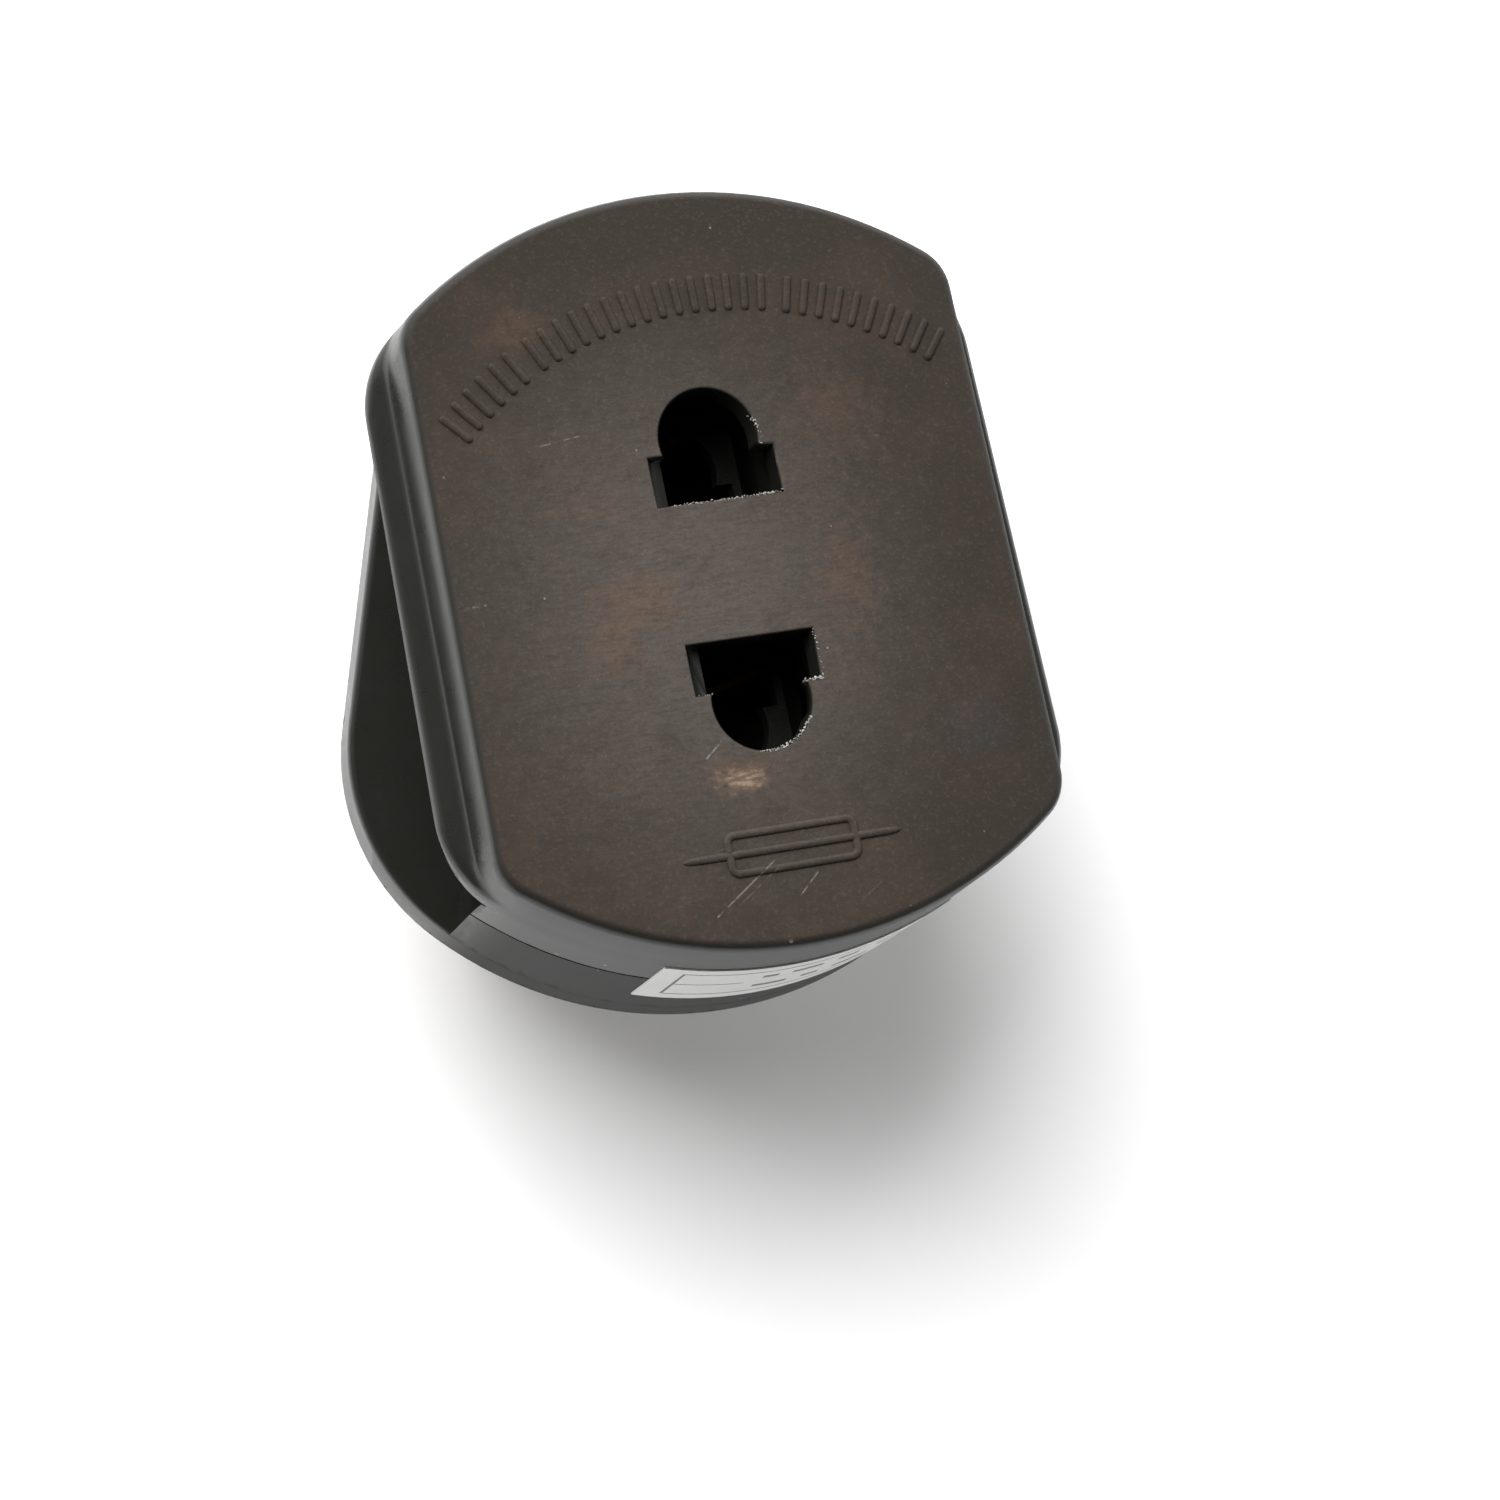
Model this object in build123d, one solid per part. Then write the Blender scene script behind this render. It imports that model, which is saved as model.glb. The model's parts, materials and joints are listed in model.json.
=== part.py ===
from build123d import *
import os
from math import cos, radians, sin, tan

os.makedirs("parts", exist_ok=True)

# Heights above the pin face, which lies at z = 0
FACE_Z = 21.0
LIP_Z = 15.95
SEAM_Z = 11.1
FLANGE_Z = 2.8

# Outline of the socket face
FACE_HALF_WIDTH = 19.24
FACE_LEAN = 0.014
FACE_TOP = 25.74
FACE_BOTTOM = 25.07
FACE_TOP_RADIUS = 29.2
FACE_BOTTOM_RADIUS = 30.1
FACE_CORNER = 3.5
FACE_EDGE_ROUND = 0.7
END_WALL_DRAFT = 2.6
RIM_ANGLES = (0, 45, 90)

# Shoulder along both sides of the face: straight wall, hollow curve, rolled lip
SHOULDER_WALL_OUT = 0.3
COVE_RADIUS = 0.9
LIP_OUT = 2.11
LIP_LEAN = 0.022
LIP_CORNER = 7.5
LIP_RADIUS = 0.8
LIP_UNDER_TUCK = 0.35
LIP_UNDER_Z = 15.1

# Outline of the flange at the pin face
FLANGE_SIDE_AT_CENTRE = 21.84
FLANGE_LEAN = 0.313
FLANGE_TOP_RADIUS = 28.4
FLANGE_BOTTOM_RADIUS = 26.8
FLANGE_TOP_CORNER = 4.0
FLANGE_BOTTOM_CORNER = 15.0
FLANGE_EDGE_ROUND = 0.45
BODY_SET_IN = 0.03

# Finger recess in each side
SCOOP_RADIUS = 60.0
NECK_PIN_ROOM = 1.11
SCOOP_HALF_LENGTH = 18.2

# Walls and inside spaces
SHELL_WALL = 1.8
NECK_WALL = 1.5
FLOOR = 2.0
FACE_WALL = 2.2
TONGUE_WALL = 0.8
TONGUE_HEIGHT = 0.9
TONGUE_HALF_LENGTH = 12.0
JOINT_GAP = 0.1
SEAM_GAP = 0.15

# Two keyhole sockets, a round hole joined to a flat slot
HOLE_PITCH_HALF = 8.8
HOLE_RADIUS = 3.33
SLOT_INNER_Y = 4.67
SLOT_OUTER_Y = 7.92
SLOT_HALF_WIDTH = 4.28
SLOT_LEDGE_X = 3.2
SLOT_LEDGE_DEPTH = 1.4
KEYHOLE_BEVEL = 0.2
WELL_CLEARANCE = 0.35
WELL_WALL = 1.2

# Pins of the wall plug
PIN_PITCH = 22.23
PIN_LINE_Y = -10.6
LIVE_PIN_WIDTH = 6.35
LIVE_PIN_DEPTH = 4.0
LIVE_PIN_LENGTH = 17.7
EARTH_PIN_WIDTH = 3.98
EARTH_PIN_DEPTH = 7.95
EARTH_PIN_LENGTH = 22.73
PIN_TIP_BEVEL = 1.1
SLEEVE_LENGTH = 9.5
SLEEVE_WALL = 0.6
SLEEVE_SEAT = 1.2
PIN_HEAD_DEPTH = 6.5
PIN_HEAD_HEIGHT = 4.5
EARTH_ROOT_MARGIN = 1.2
EARTH_ROOT_THICKNESS = 1.2

# Fuse, its clips and its carrier
FUSE_LENGTH = 20.0
FUSE_RADIUS = 2.6
FUSE_CAP_LENGTH = 4.5
FUSE_CAP_WALL = 0.25
FUSE_BORE_RADIUS = 1.5
FUSE_WIRE_RADIUS = 0.15
FUSE_AXIS_Z = 4.3
CARRIER_END_ROOM = 0.6
CARRIER_WIDTH = 7.4
CARRIER_PLATE = 1.0
CARRIER_STEP = 0.5
CARRIER_GAP = 0.1
CARRIER_PRY_LENGTH = 3.0
CARRIER_PRY_WIDTH = 1.0
CARRIER_PRY_DEPTH = 0.6
HOOK_WIDTH = 3.0
HOOK_NIB = 0.4
HOOK_THICKNESS = 0.8
CLIP_WIDTH = 3.6
CLIP_END_GAP = 0.2
CLIP_FOOT = 1.2
CLIP_TOP_GAP = 0.3

# Contact strip and rivets
STRIP = 0.5
CONTACT_HEIGHT = 8.5
STRAP_HEIGHT = 4.0
STRAP_OVERLAP = 2.0
LEAF_HALF_WIDTH = 4.0
LEAF_INNER_Y = 4.95
LEAF_OUTER_Y = 12.15
LEAF_BOW = 1.0
RIVET_RADIUS = 0.6
RIVET_HEAD_RADIUS = 1.1
RIVET_HEAD = 0.35
RIVET_Z = 4.2

# Retainer plate over the contacts
RETAINER_THICKNESS = 1.2
RETAINER_HALF_WIDTH = 8.0
RETAINER_GAP = 0.3
RETAINER_OPENING_LESS = 0.2

# Screws from the pin face
UPPER_SCREW_Y = 20.2
LOWER_SCREW_Y = -18.7
SCREW_RADIUS = 1.3
SCREW_HEAD_RADIUS = 2.5
SCREW_HEAD_HEIGHT = 1.3
SCREW_LENGTH = 15.5
SCREW_SINK = 0.2
SCREW_CLEARANCE = 0.3
BOSS_RADIUS = 3.0

# Paper label across the parting line
LABEL_LEFT = -8.2
LABEL_RIGHT = 12.0
LABEL_LOW_Z = 6.0
LABEL_HIGH_Z = 15.0
LABEL_THICKNESS = 0.1

# Places that follow from the sizes above
WALL_TOP_Z = FACE_Z - FACE_EDGE_ROUND
NECK_HALF_WIDTH = (PIN_PITCH + LIVE_PIN_WIDTH) / 2 + NECK_PIN_ROOM
BODY_LOW_Z = FLANGE_Z - FLANGE_EDGE_ROUND
CARRIER_END = FUSE_LENGTH / 2 + CARRIER_END_ROOM + HOOK_THICKNESS + CARRIER_STEP + CARRIER_GAP
CLIP_X = FUSE_LENGTH / 2 - CLIP_END_GAP - CLIP_WIDTH / 2
EARTH_Y = PIN_LINE_Y + PIN_PITCH
LIVE_X = PIN_PITCH / 2
HEAD_INNER_X = LIVE_X - LIVE_PIN_WIDTH / 2
HEAD_UPPER_Y = PIN_LINE_Y + PIN_HEAD_DEPTH / 2
CONTACT_TOP_Z = FLOOR + CONTACT_HEIGHT
WELL_END_Z = CONTACT_TOP_Z + RETAINER_THICKNESS
SCREW_PLACES = [(0, UPPER_SCREW_Y), (0, LOWER_SCREW_Y)]


def end_flare(z):
    """How far an end wall leans out at height z, measured from the top of the wall."""
    return (WALL_TOP_Z - z) * tan(radians(END_WALL_DRAFT))


def block(x0, x1, y0, y1, z0, z1):
    """A box given by its two ends along each axis."""
    centre = ((x0 + x1) / 2, (y0 + y1) / 2, (z0 + z1) / 2)
    return Pos(*centre) * Box(x1 - x0, y1 - y0, z1 - z0)


def slab(z0, z1):
    """A layer wider than the whole adapter between two heights."""
    reach = 2 * FACE_TOP
    return block(-reach, reach, -reach, reach, z0, z1)


def plan(half_width, lean, radii, corners, z, grow=0.0):
    """Outline at height z: two straight sides with an arc at each end, moved out by grow."""
    reach = 2 * FACE_TOP
    half = half_width + grow
    sides = Polygon(
        (half + lean * reach, -reach),
        (half - lean * reach, reach),
        (-half + lean * reach, reach),
        (-half - lean * reach, -reach),
        align=None,
    )
    other_half = Rectangle(2 * reach, reach)
    top_radius, bottom_radius = radii
    upper = Pos(0, FACE_TOP + end_flare(z) - top_radius) * Circle(top_radius + grow)
    upper += Pos(0, -reach / 2) * other_half
    lower = Pos(0, bottom_radius - FACE_BOTTOM - end_flare(z)) * Circle(bottom_radius + grow)
    lower += Pos(0, reach / 2) * other_half
    outline = sides & upper & lower
    top_corner, bottom_corner = corners
    outline = fillet(outline.vertices().group_by(Axis.Y)[-1], top_corner + grow)
    low = outline.vertices().filter_by(lambda v: v.Y < 0 and abs(v.X) > half / 2)
    return fillet(low, bottom_corner + grow)


def face_plan(z, out=0.0, corner=FACE_CORNER, lean=FACE_LEAN, grow=0.0):
    """Outline of the raised face at height z, with its sides moved out."""
    radii = (FACE_TOP_RADIUS, FACE_BOTTOM_RADIUS)
    return plan(FACE_HALF_WIDTH + out, lean, radii, (corner, corner), z, grow)


def flange_plan(z, grow=0.0):
    """Outline of the flange at height z."""
    radii = (FLANGE_TOP_RADIUS, FLANGE_BOTTOM_RADIUS)
    corners = (FLANGE_TOP_CORNER, FLANGE_BOTTOM_CORNER)
    return plan(FLANGE_SIDE_AT_CENTRE, FLANGE_LEAN, radii, corners, z, grow)


def body_plan(z, grow=0.0):
    """Outline of the body at height z, on its way from the flange to the underside of the lip."""
    share = (z - BODY_LOW_Z) / (LIP_UNDER_Z - BODY_LOW_Z)

    def between(low, high):
        return low + (high - low) * share

    half_width = between(FLANGE_SIDE_AT_CENTRE, FACE_HALF_WIDTH + LIP_OUT - LIP_UNDER_TUCK)
    lean = between(FLANGE_LEAN, LIP_LEAN)
    radii = (between(FLANGE_TOP_RADIUS, FACE_TOP_RADIUS), between(FLANGE_BOTTOM_RADIUS, FACE_BOTTOM_RADIUS))
    corners = (between(FLANGE_TOP_CORNER, LIP_CORNER), between(FLANGE_BOTTOM_CORNER, LIP_CORNER))
    return plan(half_width, lean, radii, corners, z, grow - between(BODY_SET_IN, 0))


def rim_steps(radius):
    """Inset and drop of each section of a rounded rim, from the wall up to the top."""
    return [(radius - radius * cos(radians(a)), radius - radius * sin(radians(a))) for a in RIM_ANGLES]


def shoulder_sections():
    """Outlines from the underside of the lip up to the straight wall of the face."""
    lip_top_z = LIP_Z + LIP_RADIUS
    steps = [(LIP_OUT - LIP_UNDER_TUCK, LIP_UNDER_Z)]
    for angle in (0, 35, 70):
        out = LIP_OUT - LIP_RADIUS + LIP_RADIUS * cos(radians(angle))
        steps.append((out, LIP_Z + LIP_RADIUS * sin(radians(angle))))
    for angle in (30, 60, 90):
        out = SHOULDER_WALL_OUT + COVE_RADIUS * (1 - sin(radians(angle)))
        steps.append((out, lip_top_z + COVE_RADIUS * (1 - cos(radians(angle)))))
    sections = []
    for out, z in steps:
        share = out / LIP_OUT
        corner = FACE_CORNER + (LIP_CORNER - FACE_CORNER) * share
        lean = FACE_LEAN + (LIP_LEAN - FACE_LEAN) * share
        sections.append(Pos(0, 0, z) * face_plan(z, out, corner, lean))
    return sections


def upper_block():
    """Raised face with its rounded rim, hollow shoulder and rolled lip, as one solid block."""
    sections = shoulder_sections()
    for inset, drop in rim_steps(FACE_EDGE_ROUND):
        z = FACE_Z - drop
        sections.append(Pos(0, 0, z) * face_plan(z, grow=-inset))
    return loft(sections, ruled=True)


def body_block(z0, z1, grow=0.0):
    """Solid body between two heights, widening from the flange to the lip."""
    low = Pos(0, 0, z0) * body_plan(z0, grow)
    high = Pos(0, 0, z1) * body_plan(z1, grow)
    return loft([low, high], ruled=True)


def flange():
    """Thin flange at the pin face with a rounded upper rim."""
    sections = [flange_plan(0)]
    for inset, drop in rim_steps(FLANGE_EDGE_ROUND):
        z = FLANGE_Z - drop
        sections.append(Pos(0, 0, z) * flange_plan(z, -inset))
    return loft(sections, ruled=True)


def scoop_circles(grow=0.0):
    """Plan circles of the two finger recesses."""
    reach = NECK_HALF_WIDTH + SCOOP_RADIUS
    circle = Circle(SCOOP_RADIUS + grow)
    return Pos(reach, 0) * circle + Pos(-reach, 0) * circle


def scoops():
    """Finger recesses between the flange and the lip."""
    length = Rectangle(4 * FACE_HALF_WIDTH, 2 * SCOOP_HALF_LENGTH)
    return prism(scoop_circles() & length, BODY_LOW_Z, LIP_UNDER_Z)


def cavity_plan(grow=0.0):
    """Plan of the hollow inside."""
    outer = offset(flange_plan(FLANGE_Z), amount=-SHELL_WALL) & offset(face_plan(FACE_Z), amount=-SHELL_WALL)
    inner = outer - scoop_circles(NECK_WALL)
    return offset(inner, amount=grow) if grow else inner


def slot_ledge(side):
    """Shallow step across the left end of a slot, outside the path of the blade."""
    ends = sorted((side * SLOT_INNER_Y, side * SLOT_OUTER_Y))
    left = -SLOT_HALF_WIDTH - WELL_CLEARANCE
    return block(left, -SLOT_LEDGE_X, *ends, FACE_Z - FACE_WALL, FACE_Z - SLOT_LEDGE_DEPTH)


def keyhole(side, grow=0.0):
    """Plan of one socket hole; side is 1 above the centre and -1 below it."""
    middle = side * (SLOT_INNER_Y + SLOT_OUTER_Y) / 2
    depth = SLOT_OUTER_Y - SLOT_INNER_Y
    slot = Pos(0, middle) * Rectangle(2 * SLOT_HALF_WIDTH + 2 * grow, depth + 2 * grow)
    return slot + Pos(0, side * HOLE_PITCH_HALF) * Circle(HOLE_RADIUS + grow)


def keyhole_bevel(side):
    """Small bevel round the mouth of a socket hole."""
    low = Pos(0, 0, FACE_Z - KEYHOLE_BEVEL) * keyhole(side)
    high = Pos(0, 0, FACE_Z) * keyhole(side, KEYHOLE_BEVEL)
    return loft([low, high], ruled=True)


def prism(face, z0, z1):
    """A plan face raised from z0 to z1."""
    return Pos(0, 0, z0) * extrude(face, amount=z1 - z0)


def strip(points, z0, z1):
    """Thin upright strip that follows a path seen from above, mitred at its bends."""
    runs = [Vector(*b) - Vector(*a) for a, b in zip(points, points[1:])]
    bends = [STRIP / 2 * tan(radians(a.get_angle(b) / 2)) for a, b in zip(runs, runs[1:])]
    ends = [0, *bends, 0]
    body = None
    for place, run, before, after in zip(points, runs, ends, ends[1:]):
        frame = Plane(origin=(*place, z0), x_dir=(run.X, run.Y, 0))
        wall = frame * block(-before, run.length + after, -STRIP / 2, STRIP / 2, 0, z1 - z0)
        body = wall if body is None else body + wall
    return body


def rod(radius, x, y, z0, z1):
    """Upright cylinder between two heights."""
    return Pos(x, y, z0) * Cylinder(radius, z1 - z0, align=(Align.CENTER, Align.CENTER, Align.MIN))


def tongue(grow=0.0):
    """Two rails along the necks of the base that enter the cover."""
    ring = cavity_plan(TONGUE_WALL + grow) - cavity_plan()
    rails = ring & Rectangle(4 * FACE_HALF_WIDTH, 2 * (TONGUE_HALF_LENGTH + grow))
    return prism(rails, SEAM_Z - FLOOR / 2, SEAM_Z + TONGUE_HEIGHT + grow)


def well(side, grow):
    """Plan of the box round one socket hole."""
    far = HOLE_PITCH_HALF + HOLE_RADIUS
    frame = Rectangle(2 * (SLOT_HALF_WIDTH + grow), far - SLOT_INNER_Y + 2 * grow)
    return Pos(0, side * (far + SLOT_INNER_Y) / 2) * frame


def front_cover():
    """Socket housing: face, shoulder, upper body, wells and screw bosses."""
    body = upper_block() + body_block(SEAM_Z, LIP_UNDER_Z)
    body -= scoops()
    body -= prism(cavity_plan(), SEAM_Z, FACE_Z - FACE_WALL)
    body -= tongue(JOINT_GAP)
    for side in (1, -1):
        ring = well(side, WELL_CLEARANCE + WELL_WALL) - well(side, WELL_CLEARANCE)
        body += prism(ring, WELL_END_Z, FACE_Z - FACE_WALL)
        body -= prism(keyhole(side), FACE_Z - FACE_WALL, FACE_Z)
        body -= keyhole_bevel(side)
        body += slot_ledge(side)
    for x, y in SCREW_PLACES:
        body += rod(BOSS_RADIUS, x, y, SEAM_Z, FACE_Z - FACE_WALL)
        body -= rod(SCREW_RADIUS, x, y, SEAM_Z, SCREW_SINK + SCREW_LENGTH + SCREW_CLEARANCE)
    return body


def carrier_opening():
    """Stepped opening for the fuse carrier, with the notches for its hooks."""
    rim = block(-CARRIER_END, CARRIER_END, -CARRIER_WIDTH / 2, CARRIER_WIDTH / 2, 0, CARRIER_PLATE)
    x = CARRIER_END - CARRIER_STEP
    y = CARRIER_WIDTH / 2 - CARRIER_STEP
    return rim + block(-x, x, -y, y, CARRIER_PLATE, FLOOR)


def live_pin_hole(x):
    """Opening in the floor for a brass pin and its sleeve."""
    half_w = LIVE_PIN_WIDTH / 2
    half_d = LIVE_PIN_DEPTH / 2
    seat = block(x - half_w, x + half_w, PIN_LINE_Y - half_d, PIN_LINE_Y + half_d, 0, SLEEVE_SEAT)
    half_w -= SLEEVE_WALL
    half_d -= SLEEVE_WALL
    return seat + block(x - half_w, x + half_w, PIN_LINE_Y - half_d, PIN_LINE_Y + half_d, 0, FLOOR)


def earth_root():
    """Foot of the earth pin, let into the floor from inside."""
    half_w = EARTH_PIN_WIDTH / 2 + EARTH_ROOT_MARGIN
    half_d = EARTH_PIN_DEPTH / 2 + EARTH_ROOT_MARGIN
    low = FLOOR - EARTH_ROOT_THICKNESS
    return block(-half_w, half_w, EARTH_Y - half_d, EARTH_Y + half_d, low, FLOOR)


def rear_base():
    """Flange, lower body, pin openings, screw pillars and locating tongue."""
    body = body_block(BODY_LOW_Z, SEAM_Z) - scoops()
    body -= slab(SEAM_Z - SEAM_GAP, FACE_Z)
    body += flange()
    body -= prism(cavity_plan(), FLOOR, SEAM_Z)
    body += tongue()
    for x, y in SCREW_PLACES:
        body += rod(BOSS_RADIUS, x, y, FLOOR, SEAM_Z)
        body -= rod(SCREW_RADIUS + SCREW_CLEARANCE, x, y, 0, SEAM_Z)
        body -= rod(SCREW_HEAD_RADIUS + SCREW_CLEARANCE, x, y, 0, SCREW_SINK + SCREW_HEAD_HEIGHT)
    body -= carrier_opening()
    body -= live_pin_hole(LIVE_X) + live_pin_hole(-LIVE_X)
    return body - earth_root() - earth_shank(FLOOR)


def bevelled_pin(width, depth, x, y, z_tip, z_top):
    """Flat pin with its tip bevelled on all four sides."""
    pin = block(x - width / 2, x + width / 2, y - depth / 2, y + depth / 2, z_tip, z_top)
    return chamfer(pin.faces().sort_by(Axis.Z)[0].edges(), PIN_TIP_BEVEL)


def earth_shank(top_z):
    """Part of the earth pin outside its foot."""
    return bevelled_pin(EARTH_PIN_WIDTH, EARTH_PIN_DEPTH, 0, EARTH_Y, -EARTH_PIN_LENGTH, top_z)


def earth_pin():
    """Plastic earth pin with its foot."""
    return earth_shank(FLOOR) + earth_root()


def live_pin(x):
    """Brass pin: bare end, thin waist inside the sleeve, head above the floor."""
    pin = bevelled_pin(LIVE_PIN_WIDTH, LIVE_PIN_DEPTH, x, PIN_LINE_Y, -LIVE_PIN_LENGTH, -SLEEVE_LENGTH)
    half_w = LIVE_PIN_WIDTH / 2 - SLEEVE_WALL
    half_d = LIVE_PIN_DEPTH / 2 - SLEEVE_WALL
    pin += block(x - half_w, x + half_w, PIN_LINE_Y - half_d, PIN_LINE_Y + half_d, -SLEEVE_LENGTH, FLOOR)
    half_w = LIVE_PIN_WIDTH / 2
    half_d = PIN_HEAD_DEPTH / 2
    top = FLOOR + PIN_HEAD_HEIGHT
    pin += block(x - half_w, x + half_w, PIN_LINE_Y - half_d, PIN_LINE_Y + half_d, FLOOR, top)
    return pin - rivet_shanks()


def pin_sleeve(x):
    """Insulating sleeve round the waist of a brass pin."""
    half_w = LIVE_PIN_WIDTH / 2
    half_d = LIVE_PIN_DEPTH / 2
    outer = block(x - half_w, x + half_w, PIN_LINE_Y - half_d, PIN_LINE_Y + half_d, -SLEEVE_LENGTH, SLEEVE_SEAT)
    half_w -= SLEEVE_WALL
    half_d -= SLEEVE_WALL
    return outer - block(x - half_w, x + half_w, PIN_LINE_Y - half_d, PIN_LINE_Y + half_d, -SLEEVE_LENGTH, SLEEVE_SEAT)


def leaf_path(side, web_x):
    """Plan path of a contact: inner leaf, web and outer leaf, both leaves bowed inward."""
    far = -web_x
    return [
        (far, side * LEAF_INNER_Y),
        (0, side * (LEAF_INNER_Y + LEAF_BOW)),
        (web_x, side * LEAF_INNER_Y),
        (web_x, side * LEAF_OUTER_Y),
        (0, side * (LEAF_OUTER_Y - LEAF_BOW)),
        (far, side * LEAF_OUTER_Y),
    ]


def rivet_specs():
    """Seat point and outward direction of each rivet, and how deep its shank goes."""
    clip_side_y = FUSE_RADIUS + STRIP
    head_depth = 1.0
    return [
        ((-HEAD_INNER_X, PIN_LINE_Y + 0.4, RIVET_Z), (1, 0, 0), head_depth),
        ((LIVE_X, HEAD_UPPER_Y, RIVET_Z), (0, 1, 0), head_depth),
        ((-CLIP_X, clip_side_y, RIVET_Z), (0, 1, 0), STRIP),
    ]


def rivet_shanks():
    """Straight shanks, also used to drill the pieces that they join."""
    shanks = None
    for seat, out, depth in rivet_specs():
        frame = Plane(origin=seat, z_dir=out)
        shank = frame * rod(RIVET_RADIUS, 0, 0, -depth, STRIP)
        shanks = shank if shanks is None else shanks + shank
    return shanks


def strap_rivets():
    """Rivets that join the contact straps to the pins and the load clip."""
    solids = []
    for seat, out, depth in rivet_specs():
        frame = Plane(origin=seat, z_dir=out)
        head = frame * rod(RIVET_HEAD_RADIUS, 0, 0, STRIP, STRIP + RIVET_HEAD)
        solids.append(frame * rod(RIVET_RADIUS, 0, 0, -depth, STRIP) + head)
    return Compound(children=[s.solid() for s in solids])


def neutral_contact():
    """Lower socket contact, riveted straight to the neutral pin."""
    web_x = -LEAF_HALF_WIDTH
    tab_x = -HEAD_INNER_X + STRIP / 2
    contact = strip(leaf_path(-1, web_x), FLOOR, CONTACT_TOP_Z)
    path = [(web_x, -LEAF_OUTER_Y), (tab_x, -LEAF_OUTER_Y), (tab_x, PIN_LINE_Y + STRAP_OVERLAP)]
    contact += strip(path, FLOOR, FLOOR + STRAP_HEIGHT)
    return contact - rivet_shanks()


def line_contact():
    """Upper socket contact with a strap to the load side of the fuse."""
    web_x = -LEAF_HALF_WIDTH
    tab_y = FUSE_RADIUS + STRIP + STRIP / 2
    turn_y = FUSE_RADIUS + STRIP + CLIP_FOOT + STRIP
    end_x = -CLIP_X - CLIP_WIDTH / 2
    contact = strip(leaf_path(1, web_x), FLOOR, CONTACT_TOP_Z)
    path = [(web_x, turn_y + 1), (web_x - STRIP * 3, turn_y), (web_x - STRIP * 3, tab_y), (end_x, tab_y)]
    contact += strip(path, FLOOR + STRIP, FLOOR + STRAP_HEIGHT)
    return contact - rivet_shanks()


def fuse_clip(x):
    """Spring clip over a fuse cap, with feet on the floor."""
    x0 = x - CLIP_WIDTH / 2
    x1 = x + CLIP_WIDTH / 2
    top = FUSE_AXIS_Z + FUSE_RADIUS + CLIP_TOP_GAP
    inner = FUSE_RADIUS
    outer = inner + STRIP
    clip = block(x0, x1, -outer, outer, FLOOR, top + STRIP)
    clip = fillet(clip.edges().filter_by(Axis.X).group_by(Axis.Z)[-1], STRIP)
    clip -= block(x0, x1, -inner, inner, FLOOR, top)
    foot = outer + CLIP_FOOT
    clip += block(x0, x1, outer, foot, FLOOR, FLOOR + STRIP)
    return clip + block(x0, x1, -foot, -outer, FLOOR, FLOOR + STRIP)


def line_fuse_clip():
    """Clip on the line side with its strap to the line pin."""
    tab_y = HEAD_UPPER_Y + STRIP / 2
    start_y = -FUSE_RADIUS - STRIP / 2
    path = [(CLIP_X, start_y), (CLIP_X, tab_y), (LIVE_X + STRAP_OVERLAP, tab_y)]
    clip = fuse_clip(CLIP_X) + strip(path, FLOOR, FLOOR + STRAP_HEIGHT)
    return clip - rivet_shanks()


def load_fuse_clip():
    """Clip on the load side."""
    return fuse_clip(-CLIP_X) - rivet_shanks()


def along_fuse(radius, x0, x1):
    """Cylinder on the axis of the fuse."""
    return Plane(origin=(x0, 0, FUSE_AXIS_Z), z_dir=(1, 0, 0)) * rod(radius, 0, 0, 0, x1 - x0)


def fuse_cap(side):
    """Plated cap on one end of the fuse."""
    end = FUSE_LENGTH / 2
    cap = along_fuse(FUSE_RADIUS, end - FUSE_CAP_LENGTH, end)
    cap -= along_fuse(FUSE_RADIUS - FUSE_CAP_WALL, end - FUSE_CAP_LENGTH, end - FUSE_CAP_WALL)
    return cap if side > 0 else mirror(cap, about=Plane.YZ)


def fuse_tube():
    """Ceramic tube inside the two caps."""
    end = FUSE_LENGTH / 2 - FUSE_CAP_WALL
    return along_fuse(FUSE_RADIUS - FUSE_CAP_WALL, -end, end) - along_fuse(FUSE_BORE_RADIUS, -end, end)


def fuse_wire():
    """Thin wire from cap to cap."""
    end = FUSE_LENGTH / 2 - FUSE_CAP_WALL
    return along_fuse(FUSE_WIRE_RADIUS, -end, end)


def fuse_carrier():
    """Snap-in tray: flush plate, cradle for the fuse and a hook at each end."""
    x = CARRIER_END - CARRIER_GAP
    y = CARRIER_WIDTH / 2 - CARRIER_GAP
    tray = block(-x, x, -y, y, 0, CARRIER_PLATE)
    x -= CARRIER_STEP
    y -= CARRIER_STEP
    tray += block(-x, x, -y, y, CARRIER_PLATE, FLOOR)
    pry = CARRIER_PRY_LENGTH / 2
    tray -= block(-pry, pry, y + CARRIER_STEP - CARRIER_PRY_WIDTH, y + CARRIER_STEP, 0, CARRIER_PRY_DEPTH)
    cradle = FUSE_LENGTH / 2 - FUSE_CAP_LENGTH - 1
    tray += block(-cradle, cradle, -FUSE_RADIUS, FUSE_RADIUS, FLOOR, FUSE_AXIS_Z)
    tray -= along_fuse(FUSE_RADIUS, -x + HOOK_THICKNESS, -cradle)
    tray -= along_fuse(FUSE_RADIUS, cradle, x - HOOK_THICKNESS)
    tray -= along_fuse(FUSE_RADIUS - FUSE_CAP_WALL, -cradle, cradle)
    half = HOOK_WIDTH / 2
    nib = HOOK_NIB + CARRIER_GAP
    for side in (1, -1):
        ends = sorted((side * x, side * (x - HOOK_THICKNESS)))
        tray += block(*ends, -half, half, FLOOR, FLOOR + 2 * HOOK_THICKNESS)
        ends = sorted((side * x, side * (x + nib)))
        tray += block(*ends, -half, half, FLOOR, FLOOR + HOOK_THICKNESS)
    return tray


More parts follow.
